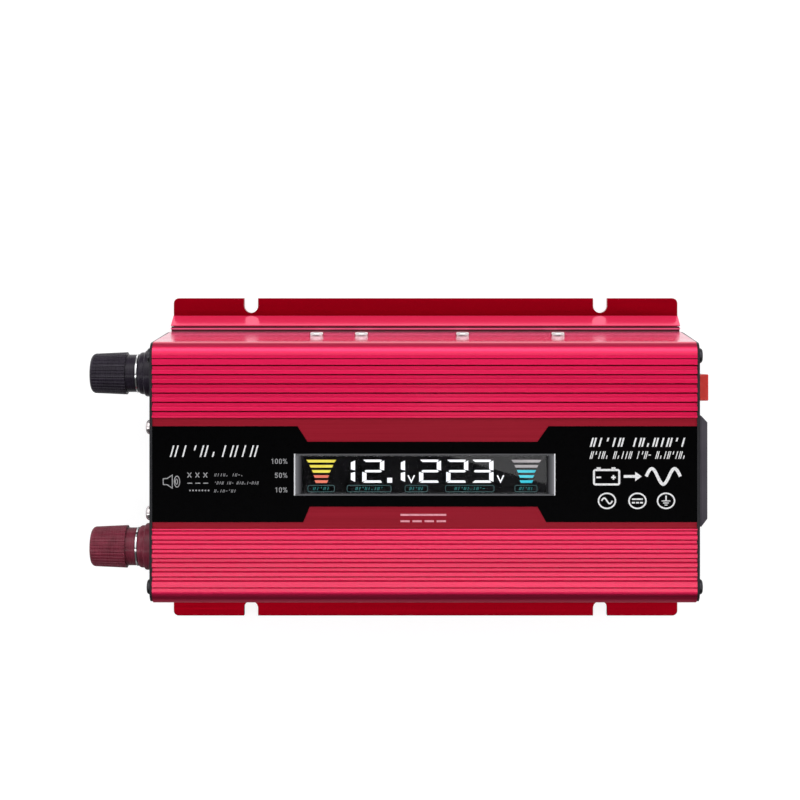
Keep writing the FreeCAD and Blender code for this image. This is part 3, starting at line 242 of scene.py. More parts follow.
def moulded(name, dark, light, rough=(0.35, 0.5), grain=1800.0, depth=0.00002, **sockets):
    """Moulded plastic with a fine mould texture and slow changes of tone."""
    r = Recipe(name, **sockets)
    texture = r.noise(grain, detail=3.0)
    clouds = r.noise(60.0, detail=2.0)
    r.shader(Base_Color=r.ramp(clouds, dark, light, 0.3, 0.7), Roughness=r.ramp(texture, *rough, 0.3, 0.7))
    r.relief(texture, depth)
    return r.material


TOOL_MARK = 0.000004


def metal(name, dark, light, rough, grain=900.0, stretch=EVEN):
    """Bare or plated metal with tool marks drawn out along the stretch."""
    r = Recipe(name, Metallic=1.0)
    marks = r.noise(grain, stretch, detail=4.0, roughness=0.6)
    clouds = r.noise(140.0, detail=2.0)
    r.shader(Base_Color=r.ramp(clouds, dark, light, 0.3, 0.7), Roughness=r.ramp(marks, *rough, 0.3, 0.7))
    r.relief(marks, TOOL_MARK)
    return r.material


EXTRUDED = (0.006, 1.0, 1.0)  # marks run along X, as they leave the die
CHANNEL_HALF = 0.0204
FINS_HALF = 0.0424
FIN_DEPTH = 0.0012
GROOVE_SHADE_DEPTHS = (0.00086, 0.0006)  # how far below the top the painted shade in the grooves is darkest, and where it starts to darken
WALL_DROP = 0.0045  # the wall's corner starts to turn this far below the top
SLOT_TOP = 0.0106
FLANGE_TOP = 0.0034
SEAT_T = 0.0003
# Painted light: a brighter, pinker tone for the cover's wall.
WALL_LIT_TONE = (0.98, 0.120, 0.270)
# Painted light: a brighter, pinker tone for the tray's lip.
LIP_LIT_TONE = (0.96, 0.038, 0.150)
SHADE_TONE = (0.05, 0.0002, 0.002)
# Painted shade: the darker maroon of the recess where the label's film is seated.
SEAT_SHADE_TONES = ((0.27, 0.010, 0.022), (0.35, 0.017, 0.034))
SLOT_SHADE = 0.9
# Each pair of values is for the front half and for the rear half of the case.
GROOVE_FLOOR_SHADE = (0.0, 0.10)
FRONT_FLANK_SHADE = (0.30, 0.90)
REAR_FLANK_SHADE = (0.34, 0.0)
FRONT_FLANK_CHALK = (0.6, 0.0)
REAR_FLANK_CHALK = (0.6, 0.8)
WALL_CHALK = 0.62
LIP_CHALK = 0.55
LIP_SKIN = 0.6
DIE_LINE = 0.000008


def anodised(name, dark, light, skin, finish):
    """Dyed anodised extrusion: die lines along X under a clear oxide skin.

    finish paints light and shade into the tone in places, changes the roughness and the skin, and says where
    the metal is chalky."""
    r = Recipe(name, Coat_Roughness=0.12, Coat_IOR=1.5)
    lines = r.noise(1500.0, EXTRUDED, detail=4.0, roughness=0.65)
    broad = r.noise(130.0, EXTRUDED, detail=2.0)
    speckle = r.noise(5200.0, detail=1.0)
    tone = r.ramp(broad, dark, light, 0.3, 0.7)
    rough = r.ramp(lines, 0.27, 0.43, 0.3, 0.7)
    tone, rough, skin, chalk = finish(r, tone, rough, skin)
    r.shader(Base_Color=tone, Roughness=rough, Coat_Weight=skin, Metallic=r.maths("SUBTRACT", 1.0, chalk))
    height = r.maths("ADD", lines, r.maths("MULTIPLY", speckle, 0.35))
    r.relief(height, DIE_LINE)
    return r.material


def flanks(r):
    """Whether a point is in the rear half, and how far it lies on a front or a rear flank of a groove."""
    facing = r.facing("y")
    front = r.ramp(facing, 1.0, 0.0, -0.65, -0.35)
    rear = r.maths("MULTIPLY", r.ramp(facing, 0.0, 1.0, 0.35, 0.65), r.ramp(facing, 1.0, 0.0, 0.90, 0.97))
    return r.maths("GREATER_THAN", r.axis("y"), 0.0), front, rear


def groove_shade_and_chalk(r, top):
    """How dark the grooves are painted, and how matt their flanks are, each half on its own."""
    rear_half, front, rear = flanks(r)

    def both_flanks(on_front, on_rear):
        front_part = r.maths("MULTIPLY", front, r.ramp(rear_half, *on_front))
        return r.maths("ADD", front_part, r.maths("MULTIPLY", rear, r.ramp(rear_half, *on_rear)))

    deep = r.ramp(r.axis("z"), 1.0, 0.0, *[top - depth for depth in GROOVE_SHADE_DEPTHS])
    floor = r.maths("MULTIPLY", deep, r.ramp(rear_half, *GROOVE_FLOOR_SHADE))
    shade = r.maths("MAXIMUM", both_flanks(FRONT_FLANK_SHADE, REAR_FLANK_SHADE), floor)
    return shade, both_flanks(FRONT_FLANK_CHALK, REAR_FLANK_CHALK)


def cover_finish_and_painted_light(r, tone, rough, skin):
    """Rougher where the label's film is seated, with painted shade there and in the grooves and slots; the
    walls chalky and painted a lit pink.
    """
    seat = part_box("label_overlay")[0].z
    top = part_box("top_cover")[1].z
    across = r.maths("ABSOLUTE", r.axis("y"))
    height = r.axis("z")
    near = r.maths("LESS_THAN", across, CHANNEL_HALF)
    channel = r.maths("MULTIPLY", near, r.maths("LESS_THAN", height, seat + SEAT_T))
    high = r.maths("GREATER_THAN", height, top - FIN_DEPTH)
    fins = r.maths("MULTIPLY", r.maths("LESS_THAN", across, FINS_HALF), high)
    shade, chalk = [r.maths("MULTIPLY", fins, part) for part in groove_shade_and_chalk(r, top)]
    wall = r.maths("LESS_THAN", height, top - WALL_DROP)
    slot = r.maths("MULTIPLY", r.maths("LESS_THAN", height, SLOT_TOP), SLOT_SHADE)
    # Painted light: the wall is painted a brighter, pinker tone than the top.
    tone = r.mix(wall, tone, WALL_LIT_TONE)
    tone = r.mix(r.maths("MAXIMUM", shade, slot), tone, SHADE_TONE)
    # Painted shade: the recess where the label's film is seated is painted a darker maroon; it is also
    # rougher, with little skin.
    seat_shade_tone = r.mix(r.noise(2400.0, EXTRUDED), *SEAT_SHADE_TONES)
    rough = r.maths("MULTIPLY", rough, r.ramp(wall, 1.0, 0.6))
    rough = r.maths("ADD", rough, r.maths("MULTIPLY", channel, 0.18))
    skin = r.maths("MULTIPLY", r.ramp(channel, skin, skin * 0.1), r.ramp(shade, 1.0, 0.2))
    skin = r.maths("MULTIPLY", skin, r.ramp(r.facing("y"), 0.0, 1.0, -0.9, -0.6))
    chalk = r.maths("MAXIMUM", chalk, r.maths("MULTIPLY", wall, WALL_CHALK))
    return r.mix(channel, tone, seat_shade_tone), rough, skin, chalk


def tray_finish_and_painted_light(r, tone, rough, skin):
    """The tray's upstanding lip is painted a bright pink as painted light; its flat flanges stay rougher and
    without a skin.
    """
    lip = r.maths("GREATER_THAN", r.axis("z"), FLANGE_TOP)
    # Painted light: the lip is painted a brighter, pinker tone.
    tone = r.mix(lip, tone, LIP_LIT_TONE)
    rough = r.maths("MULTIPLY", rough, r.ramp(lip, 1.0, 0.55))
    return tone, rough, r.ramp(lip, skin, LIP_SKIN), r.maths("MULTIPLY", lip, LIP_CHALK)


def red_anodised():
    return anodised("red_anodised", (0.73, 0.009, 0.076), (0.85, 0.015, 0.102), 0.65, cover_finish_and_painted_light)


# Painted shade: a darker copy of the cover's anodised red, which makes the tray's flanges look shaded.
def deep_red_anodised():
    return anodised("deep_red_anodised", (0.25, 0.0003, 0.006), (0.31, 0.0008, 0.009), 0.0, tray_finish_and_painted_light)


def black_steel():
    r = Recipe("black_steel", Specular_IOR_Level=0.14)
    peel = r.noise(1900.0, detail=1.5)
    grit = r.cells(5200.0)
    r.shader(Base_Color=r.ramp(grit, (0.010, 0.010, 0.012), (0.026, 0.026, 0.029), 0.1, 0.7))
    r.shader(Roughness=r.ramp(peel, 0.34, 0.55, 0.3, 0.7))
    r.relief(r.maths("ADD", peel, grit), 0.000022)
    return r.material


def label_film():
    """Near-black gloss film with a faint pebble and a trace of dust."""
    r = Recipe("label_film", Specular_IOR_Level=0.018)
    pebble = r.noise(2600.0, detail=2.0)
    dust = r.noise(420.0, detail=5.0, roughness=0.8)
    r.shader(Base_Color=r.ramp(dust, (0.0004, 0.0004, 0.0005), (0.0012, 0.0011, 0.0014), 0.35, 0.75))
    r.shader(Roughness=r.ramp(pebble, 0.16, 0.30, 0.3, 0.7))
    r.relief(pebble, 0.000006)
    return r.material


def clear_window():
    """Clear acrylic with a few hairline scuffs."""
    r = Recipe("clear_window", Transmission_Weight=1.0, IOR=1.47)
    scuffs = r.noise(300.0, (0.15, 1.0, 1.0), detail=6.0, roughness=0.75)
    r.shader(Base_Color=r.ramp(scuffs, (0.90, 0.90, 0.92), (0.98, 0.98, 0.99), 0.3, 0.7))
    r.shader(Roughness=r.ramp(scuffs, 0.015, 0.06, 0.55, 0.8))
    return r.material


def lcd_glass():
    """Black glass with the unlit mask just showing."""
    r = Recipe("lcd_glass", Specular_IOR_Level=0.2)
    mask = r.stripes("X", 0.0006)
    haze = r.noise(90.0, detail=3.0)
    unlit = r.mix(mask, (0.0016, 0.0016, 0.0020), (0.0030, 0.0030, 0.0042))
    r.shader(Base_Color=r.mix(haze, unlit, (0.0020, 0.0018, 0.0035)), Roughness=r.ramp(haze, 0.08, 0.16))
    return r.material


def circuit_board():
    """Solder resist over copper: broad tracks show as a lighter green with a raised edge."""
    r = Recipe("circuit_board", Specular_IOR_Level=0.5, Coat_Weight=0.3, Coat_Roughness=0.2)
    brick = r.tree.nodes.new("ShaderNodeTexBrick")
    r.feed(brick.inputs["Vector"], r.place)
    brick.inputs["Scale"].default_value = 85.0
    brick.inputs["Mortar Size"].default_value = 0.03
    brick.inputs["Mortar Smooth"].default_value = 0.1
    tracks = r.maths("GREATER_THAN", r.noise(210.0, detail=0.0), 0.5)
    copper = r.mix(brick.outputs["Fac"], (0.015, 0.16, 0.065), (0.008, 0.085, 0.035))
    weave = r.cells(1400.0)
    resist = r.mix(weave, (0.006, 0.070, 0.028), (0.010, 0.095, 0.040))
    r.shader(Base_Color=r.mix(tracks, resist, copper), Roughness=r.ramp(weave, 0.28, 0.42))
    r.relief(tracks, 0.00003)
    return r.material


def grey_ribbon():
    r = Recipe("grey_ribbon")
    wire_ridges_and_shade = r.stripes("Y", 0.00127)
    # Painted shade: the ribbon darkens in the grooves between its wires.
    r.shader(Base_Color=r.ramp(wire_ridges_and_shade, (0.22, 0.22, 0.24), (0.52, 0.52, 0.54), 0.1, 0.6))
    r.shader(Roughness=r.ramp(wire_ridges_and_shade, 0.35, 0.5))
    r.relief(wire_ridges_and_shade, 0.0002)
    return r.material


def copper_wire():
    """Enamelled turns wound round the ring's section."""
    r = Recipe("copper_wire", Metallic=0.85, Coat_Weight=0.6, Coat_Roughness=0.15)
    turns = r.stripes("DIAGONAL", 0.0011, wobble=1.2)
    enamel = r.noise(400.0, detail=2.0)
    tone = r.mix(enamel, (0.42, 0.14, 0.045), (0.62, 0.26, 0.09))
    # Painted shade: the copper darkens between the turns.
    r.shader(Base_Color=r.mix(turns, (0.10, 0.03, 0.012), tone), Roughness=r.ramp(enamel, 0.2, 0.35))
    r.relief(turns, 0.0003)
    return r.material


def winding_tape():
    r = Recipe("winding_tape", Coat_Weight=0.5, Coat_Roughness=0.2)
    laps = r.stripes("Z", 0.0045, wobble=0.6)
    crease = r.noise(700.0, (1.0, 1.0, 0.3), detail=3.0)
    r.shader(Base_Color=r.ramp(laps, (0.46, 0.32, 0.04), (0.74, 0.58, 0.10)))
    r.shader(Roughness=r.ramp(crease, 0.25, 0.45))
    r.relief(r.maths("ADD", laps, crease), 0.00008)
    return r.material


def capacitor_sleeve():
    """Dark shrink sleeve with a paler stripe of dashes down one side."""
    r = Recipe("capacitor_sleeve", Coat_Weight=0.4, Coat_Roughness=0.1)
    shrink = r.noise(260.0, (1.0, 1.0, 0.4), detail=3.0)
    dashes = r.maths("GREATER_THAN", r.stripes("Z", 0.006), 0.4)
    sleeve = r.mix(shrink, (0.008, 0.012, 0.045), (0.016, 0.022, 0.070))
    r.shader(Base_Color=r.mix(r.maths("MULTIPLY", dashes, 0.25), sleeve, (0.28, 0.30, 0.36)))
    r.shader(Roughness=r.ramp(shrink, 0.2, 0.38))
    r.relief(shrink, 0.00003)
    return r.material


def red_rocker():
    gloss = {"Coat_Weight": 0.5, "Coat_Roughness": 0.08}
    depth = {"Subsurface_Weight": 0.12, "Subsurface_Radius": (0.003, 0.001, 0.001)}
    return moulded("red_rocker", (0.66, 0.025, 0.018), (0.80, 0.045, 0.030), (0.16, 0.26), 1200.0, 0.000006,
                   **gloss, **depth)


def fuse_green():
    return moulded("fuse_green", (0.04, 0.38, 0.13), (0.09, 0.52, 0.20), (0.18, 0.30), 900.0, 0.00001,
                   Subsurface_Weight=0.2, Subsurface_Radius=(0.001, 0.004, 0.002))


def outlet_moulding():
    return moulded("outlet_moulding", (0.042, 0.034, 0.048), (0.064, 0.055, 0.071), (0.36, 0.52),
                   Specular_IOR_Level=0.25)


def knob_plastic(name, dark, light):
    """Turned phenolic with a polish and faint turning rings round the terminal's axis."""
    r = Recipe(name, Specular_IOR_Level=0.16, Coat_Weight=0.08, Coat_Roughness=0.12)
    rings = r.noise(2600.0, (1.0, 0.08, 0.08), detail=2.0)
    clouds = r.noise(240.0, detail=3.0)
    r.shader(Base_Color=r.ramp(clouds, dark, light, 0.3, 0.7))
    r.shader(Roughness=r.ramp(rings, 0.22, 0.36, 0.3, 0.7))
    r.relief(rings, 0.000002)
    return r.material


UNLIT = 0.1  # how much of its lit tone a lamp's own surface has


def glow(name, dim, bright, strength):
    """A lit part of the display, a little uneven where the lamps sit behind it."""
    r = Recipe(name, Roughness=0.5, Emission_Strength=strength)
    patches = r.noise(160.0, detail=1.0)
    lit = r.ramp(patches, dim, bright, 0.3, 0.7)
    body = r.ramp(patches, [c * UNLIT for c in dim], [c * UNLIT for c in bright])
    r.shader(Base_Color=body, Emission_Color=lit)
    return r.material


def ink(name, dark, light):
    """Screen-printed ink, slightly thin in places."""
    r = Recipe(name, Specular_IOR_Level=0.3)
    cover = r.noise(1500.0, detail=4.0, roughness=0.7)
    r.shader(Base_Color=r.ramp(cover, dark, light, 0.35, 0.6), Roughness=r.ramp(cover, 0.45, 0.65))
    r.relief(cover, 0.000004)
    return r.material


def bezel_silver():
    """Satin at the rails, with a painted reflection that darkens down each sloping end, and a painted
    highlight along the outer bevel.
    """
    low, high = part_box("display_bezel")
    middle, half = (low.x + high.x) / 2, (high.x - low.x) / 2
    r = Recipe("bezel_silver")
    along = r.maths("ABSOLUTE", r.maths("SUBTRACT", r.axis("x"), middle))
    across = r.maths("ABSOLUTE", r.maths("SUBTRACT", r.axis("y"), (low.y + high.y) / 2))
    rail = r.maths("GREATER_THAN", across, (high.y - low.y) / 2 - 0.0006)
    # Painted reflection: each sloping end darkens towards the window.
    slope = r.ramp(along, 0.0, 1.0, half - 0.0029, half - 0.0007)
    # Painted highlight: the outer bevel is a white line.
    bevel = r.maths("GREATER_THAN", along, half - 0.0005)
    brushed = r.noise(900.0, (1.0, 0.02, 1.0), detail=3.0)
    satin_and_painted_shade = r.mix(slope, (0.015, 0.015, 0.017), r.mix(brushed, (0.13, 0.13, 0.14), (0.20, 0.20, 0.21)))
    tone = r.mix(rail, satin_and_painted_shade, (0.10, 0.10, 0.105))
    r.shader(Base_Color=r.mix(bevel, tone, (0.93, 0.93, 0.94)), Roughness=r.ramp(brushed, 0.26, 0.38),
             Metallic=r.maths("SUBTRACT", 1.0, bevel))
    r.relief(brushed, 0.000004)
    return r.material


FINISHES = {
    "red_anodised": red_anodised,
    "deep_red_anodised": deep_red_anodised,
    "black_steel": black_steel,
    "label_film": label_film,
    "clear_window": clear_window,
    "lcd_glass": lcd_glass,
    "circuit_board": circuit_board,
    "grey_ribbon": grey_ribbon,
    "copper_wire": copper_wire,
    "winding_tape": winding_tape,
    "capacitor_sleeve": capacitor_sleeve,
    "red_rocker": red_rocker,
    "fuse_green": fuse_green,
    "outlet_moulding": outlet_moulding,
    "bezel_silver": bezel_silver,
}
# Dark and light tone, roughness, grain of the tool marks and how they are drawn out.
METALS = {
    "black_screw": ((0.035, 0.035, 0.040), (0.075, 0.072, 0.080), (0.28, 0.42)),
    "bright_screw": ((0.66, 0.60, 0.60), (0.86, 0.80, 0.80), (0.12, 0.24)),
    "zinc_steel": ((0.46, 0.46, 0.47), (0.66, 0.66, 0.67), (0.26, 0.42), 1300.0, (0.05, 1.0, 1.0)),
    "brass": ((0.62, 0.42, 0.13), (0.80, 0.60, 0.24), (0.18, 0.32), 1600.0),
    "copper_strip": ((0.60, 0.25, 0.13), (0.82, 0.42, 0.26), (0.22, 0.38), 1500.0, (0.04, 1.0, 1.0)),
    "nickel_washer": ((0.70, 0.70, 0.71), (0.88, 0.88, 0.89), (0.10, 0.20), 1800.0),
}
# Dark and light tone, roughness, grain and depth of the mould texture.
MOULDINGS = {
    "white_plastic": ((0.66, 0.66, 0.64), (0.80, 0.80, 0.78)),
    "black_moulding": ((0.010, 0.010, 0.012), (0.022, 0.022, 0.025), (0.32, 0.5)),
    "thermal_pad": ((0.42, 0.43, 0.50), (0.56, 0.57, 0.62), (0.6, 0.8), 2200.0, 0.00005),
    "ferrite": ((0.030, 0.030, 0.033), (0.060, 0.060, 0.066), (0.45, 0.65), 2600.0, 0.00004),
}
KNOBS = {
    "black_knob": ((0.015, 0.011, 0.019), (0.027, 0.021, 0.033)),
    "red_knob": ((0.150, 0.020, 0.036), (0.230, 0.032, 0.058)),
}


def dress_nodes():
    """Gives every CAD node the finish that the record names for it."""
    made = {slot: build() for slot, build in FINISHES.items()}
    for rows, build in ((METALS, metal), (MOULDINGS, moulded), (KNOBS, knob_plastic)):
        made.update({slot: build(slot, *values) for slot, values in rows.items()})
    for row in frame["record"]["subparts"]:
        materials = frame["nodes"][row["node"]].data.materials
        finish = made[row["material_slot"]]
        for place in range(len(materials)):
            materials[place] = finish
        if not materials:
            materials.append(finish)


# ---------------------------------------------------------------- flat shapes for printing
# Shapes are drawn in mm. A shape is either a filled outline or a stroke with two edges.


CIRCLE_STEPS = 28
CORNER_STEPS = 5


def outline(points):
    return {"left": [Vector(p) for p in points], "right": None, "closed": True}


def box_outline(x0, y0, x1, y1):
    return outline([(x0, y0), (x1, y0), (x1, y1), (x0, y1)])


def stroke(points, width, closed=False):
    """A line of even width through the points, mitred where it bends."""
    points = [Vector(p) for p in points]
    count = len(points)
    left, right = [], []
    for i, here in enumerate(points):
        before = points[i - 1] if closed or i else None
        after = points[(i + 1) % count] if closed or i < count - 1 else None
        pairs = [pair for pair in ((before, here), (here, after)) if None not in pair]
        runs = [(b - a).normalized() for a, b in pairs]
        normals = [Vector((-run.y, run.x)) for run in runs]
        middle = sum(normals, Vector((0.0, 0.0))).normalized()
        reach = width / 2 / max(0.5, middle.dot(normals[0]))
        left.append(here + middle * reach)
        right.append(here - middle * reach)
    return {"left": left, "right": right, "closed": closed}


def ellipse_points(cx, cy, rx, ry, start=0.0, sweep=360.0, steps=CIRCLE_STEPS):
    count = steps if sweep >= 360.0 else steps + 1
    angles = [math.radians(start + sweep * i / steps) for i in range(count)]
    return [(cx + rx * math.cos(a), cy + ry * math.sin(a)) for a in angles]


def disc(cx, cy, r):
    return outline(ellipse_points(cx, cy, r, r))


def ring(cx, cy, rx, ry, width):
    return stroke(ellipse_points(cx, cy, rx, ry), width, closed=True)


def rounded_box(x0, y0, x1, y1, r, width):
    """The outline of a box with round corners, as a stroke."""
    points = []
    corners = ((x1 - r, y1 - r), (x0 + r, y1 - r), (x0 + r, y0 + r), (x1 - r, y0 + r))
    for quarter, (cx, cy) in enumerate(corners):
        points += ellipse_points(cx, cy, r, r, 90.0 * quarter, 90.0, CORNER_STEPS)
    return stroke(points, width, closed=True)


def sine(x0, x1, cy, height, width, waves=1.0):
    steps = int(CIRCLE_STEPS * waves)
    points = []
    for i in range(steps + 1):
        t = i / steps
        points.append((x0 + (x1 - x0) * t, cy + height / 2 * math.sin(2 * math.pi * waves * t)))
    return stroke(points, width)


def raise_shape(mesh, shape, place, thick):
    """Adds one shape to a bmesh as a closed sliver of solid standing on the surface."""
    def corners(edge, height):
        return [mesh.verts.new(place(p.x, p.y, height)) for p in edge]

    low_left, top_left = corners(shape["left"], 0.0), corners(shape["left"], thick)
    count = len(low_left)
    if shape["right"] is None:
        mesh.faces.new(top_left)
        mesh.faces.new(low_left[::-1])
        for i in range(count):
            j = (i + 1) % count
            mesh.faces.new((low_left[i], low_left[j], top_left[j], top_left[i]))
        return
    low_right, top_right = corners(shape["right"], 0.0), corners(shape["right"], thick)
    rails = (low_left, top_left, top_right, low_right)
    for i in range(count if shape["closed"] else count - 1):
        j = (i + 1) % count
        for a, b in zip(rails, rails[1:] + rails[:1]):
            mesh.faces.new((a[i], a[j], b[j], b[i]))
    if not shape["closed"]:
        mesh.faces.new([rail[0] for rail in rails])
        mesh.faces.new([rail[-1] for rail in rails[::-1]])


PRINT_T = 0.02


def print_on(name, shapes, place, material, body="case"):
    """Builds shapes as one raised print that rides on a body."""
    mesh = bmesh.new()
    for shape in shapes:
        raise_shape(mesh, shape, place, PRINT_T)
    bmesh.ops.recalc_face_normals(mesh, faces=mesh.faces)
    data = bpy.data.meshes.new(name)
    mesh.to_mesh(data)
    mesh.free()
    data.materials.append(material)
    piece = bpy.data.objects.new(name, data)
    SCENE.collection.objects.link(piece)
    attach(piece, body)


ART_SCALE = 1.008  # the artwork is drawn a little small, then stretched to the film
ART_AT = (0.46, 0.33)


def on_top(z):
    """Places the label's artwork on a level surface at height z, in metres."""
    def place(x, y, lift):
        return Vector(((x * ART_SCALE + ART_AT[0]) * MM, (y * ART_SCALE + ART_AT[1]) * MM, z + lift * MM))

    return place


# ---------------------------------------------------------------- what is printed on the label


LEAN = 0.28
TWIN_REACH = 0.22
DASH_REACH = 0.3


def dummy_text(x0, x1, y0, y1, cells, weight):
    """A line of leaning ticks that has the weight of print and says nothing.

    Each letter of cells is one mark: i a tall tick, n two of them, u and l a short tick in the
    upper or lower half, d a dash, and a space."""
    pitch = (x1 - x0) / len(cells)
    lean = (y1 - y0) * LEAN
    level = (y0 + y1) / 2

    def tick(x, low, high):
        foot, head = x + lean * (low - level) / (y1 - y0), x + lean * (high - level) / (y1 - y0)
        half = weight / 2
        return outline([(foot - half, low), (foot + half, low), (head + half, high), (head - half, high)])

    shapes = []
    for k, mark in enumerate(cells):
        middle = x0 + pitch * (k + 0.5)
        if mark == "i":
            shapes.append(tick(middle, y0, y1))
        elif mark == "n":
            shapes += [tick(middle + pitch * side, y0, y1) for side in (-TWIN_REACH, TWIN_REACH)]
        elif mark == "u":
            shapes.append(tick(middle, level + weight / 2, y1))
        elif mark == "l":
            shapes.append(tick(middle, y0, level - weight / 2))
        elif mark == "d":
            reach = pitch * DASH_REACH
            shapes.append(box_outline(middle - reach, level - weight / 2, middle + reach, level + weight / 2))
    return shapes


def numeral(character, x, y, height, weight):
    """A figure or per cent sign, standing on (x, y)."""
    width = height * 0.56
    half = weight / 2
    if character == "0":
        right, top = x + width - half, y + height - half
        return [rounded_box(x + half, y + half, right, top, width * 0.38, weight)]
    if character == "1":
        stem = x + width * 0.60
        return [stroke([(x + width * 0.15, y + height * 0.80), (stem, y + height - half), (stem, y)], weight)]
    if character == "5":
        top, waist = y + height - half, y + height * 0.56
        cx, cy = x + width * 0.45, y + height * 0.32
        bowl = ellipse_points(cx, cy, width * 0.45, height * 0.27, 90.0, -250.0, 12)
        flag = [(x + width, top), (x + width * 0.12, top), (x + width * 0.10, waist)]
        return [stroke(flag + bowl, weight)]
    return [
        ring(x + width * 0.28, y + height * 0.78, width * 0.24, height * 0.17, weight * 0.8),
        ring(x + width * 1.22, y + height * 0.22, width * 0.24, height * 0.17, weight * 0.8),
        stroke([(x + width * 0.30, y), (x + width * 1.20, y + height)], weight * 0.8),
    ]


def scale_figures():
    """The load gauge's per cent scale, beside the window."""
    height, right = 1.85, -50.2
    pitch = height * 0.78
    shapes = []
    for text, level in (("100%", 4.0), ("50%", -1.1), ("10%", -6.4)):
        x = right - height - pitch * (len(text) - 1)
        for character in text:
            shapes += numeral(character, x, level - height / 2, height, 0.24)
            x += pitch
    return shapes


def loudspeaker(cx, cy, width):
    """A horn with one sound wave, drawn in line."""
    height = width * 0.72
    box, mouth = cx - width * 0.46, cx + width * 0.04
    body = [
        (box, cy - height * 0.22), (box, cy + height * 0.22), (cx - width * 0.24, cy + height * 0.24),
        (mouth, cy + height * 0.5), (mouth, cy - height * 0.5), (cx - width * 0.24, cy - height * 0.24),
    ]
    return [stroke(body, 0.32, closed=True), ring(cx + width * 0.30, cy, width * 0.15, height * 0.42, 0.30),
            ring(cx + width * 0.27, cy, width * 0.06, height * 0.2, 0.26)]


def sound_key():
    """A loudspeaker, then crosses, dashes and dots that stand for the three patterns of the alarm."""
    shapes = loudspeaker(-92.6, -3.4, 6.6)
    for k in range(3):
        x = -86.1 + 2.9 * k
        for lean in (1, -1):
            shapes.append(stroke([(x - 0.7 * lean, -1.9), (x + 0.7 * lean, -0.1)], 0.30))
        shapes.append(box_outline(x - 0.75, -4.13, x + 1.05, -3.8))
    for k in range(7):
        shapes.append(disc(-85.9 + 1.13 * k, -6.6, 0.30))
    lines = ((-0.95, -66.4, "niinl indl"), (-3.9, -60.8, "unin ind ninlidnin"), (-6.8, -69.0, "nlinduni"))
    for level, end, cells in lines:
        shapes += dummy_text(-77.2, end, level - 0.55, level + 0.55, cells, 0.16)
    return shapes


def conversion_sign(x0, x1, cy, height):
    """A battery, an arrow and a wave: direct current in, alternating current out."""
    cell = x0 + height * 1.45
    weight = 0.75
    half = height / 2
    low, high = cy - half + weight / 2, cy + half - weight * 1.3
    shapes = [rounded_box(x0 + weight / 2, low, cell, high, 0.6, weight)]
    for x in (x0 + height * 0.32, cell - height * 0.32):
        shapes.append(box_outline(x - 0.75, cy + half - weight, x + 0.75, cy + half))
        shapes.append(box_outline(x - 0.85, cy - 0.65, x + 0.85, cy - 0.05))
    plus = cell - height * 0.32
    shapes.append(box_outline(plus - 0.3, cy - 1.2, plus + 0.3, cy - 0.65))
    shapes.append(box_outline(plus - 0.3, cy - 0.05, plus + 0.3, cy + 0.5))
    a, b = cell + 1.6, cell + 8.2
    neck = b - 2.4
    arrow = [(a, -0.5), (neck, -0.5), (neck, -1.7), (b, 0.0), (neck, 1.7), (neck, 0.5), (a, 0.5)]
    shapes.append(outline([(x, cy + y) for x, y in arrow]))
    shapes.append(sine(b + 1.6, x1, cy, height * 0.86, 1.15, 1.5))
    return shapes


def source_signs(cy):
    """Plain circuit signs in rings: alternating, direct, and protective earth."""
    r, weight = 2.75, 0.55
    wave, direct, earth = 65.9, 77.0, 87.4
    shapes = [ring(x, cy, r * 1.12, r, weight) for x in (wave, direct, earth)]
    shapes.append(sine(wave - 2.0, wave + 2.0, cy, 2.0, weight))
    shapes.append(box_outline(direct - 2.0, cy + 0.35, direct + 2.0, cy + 0.9))
    for k in range(3):
        left = direct - 2.0 + 1.45 * k
        shapes.append(box_outline(left, cy - 0.95, left + 1.1, cy - 0.4))
    shapes.append(box_outline(earth - 0.25, cy, earth + 0.25, cy + 1.9))
    for k, half in enumerate((1.6, 1.05, 0.5)):
        low = cy - 0.2 - 0.75 * k
        shapes.append(box_outline(earth - half, low, earth + half, low + 0.35))
    return shapes


# Lines of print: left, right, foot and head.
NAME_LINE = (-93.4, -60.8, 5.6, 9.8)
TITLE_LINE = (59.7, 94.9, 9.3, 12.55)
SUBTITLE_LINE = (59.7, 94.8, 4.9, 7.65)


def label_printing():
    """The large print on the label, with marks in place of words."""
    shapes = dummy_text(*NAME_LINE, "niunlinin", 0.55)
    shapes += dummy_text(*TITLE_LINE, "niuin inlninui", 0.62)
    shapes += dummy_text(*SUBTITLE_LINE, "nuinl nliin iund nlinuinl", 0.34)
    shapes += conversion_sign(60.8, 92.6, -1.5, 6.6)
    shapes += source_signs(-10.4)
    return shapes


def direct_current_mark():
    """The sign for direct current, on the cover below the window."""
    left, right, dash, pitch = -9.3, 7.4, 3.4, 4.4
    shapes = [box_outline(left, -15.9, right, -15.2)]
    for k in range(4):
        shapes.append(box_outline(left + pitch * k, -18.2, left + pitch * k + dash, -17.5))
    return shapes


# ---------------------------------------------------------------- the lit display

DIGIT_H = 8.4
DIGIT_W = 8.0
DIGIT_LOW = -3.85
UPRIGHT_W = 1.55
LEVEL_T = 0.85
SEGMENT_GAP = 0.16
SLANT = 0.75  # how much an upright segment is cut back at its ends
SEGMENTS = {"1": "bc", "2": "abged", "3": "abgcd"}


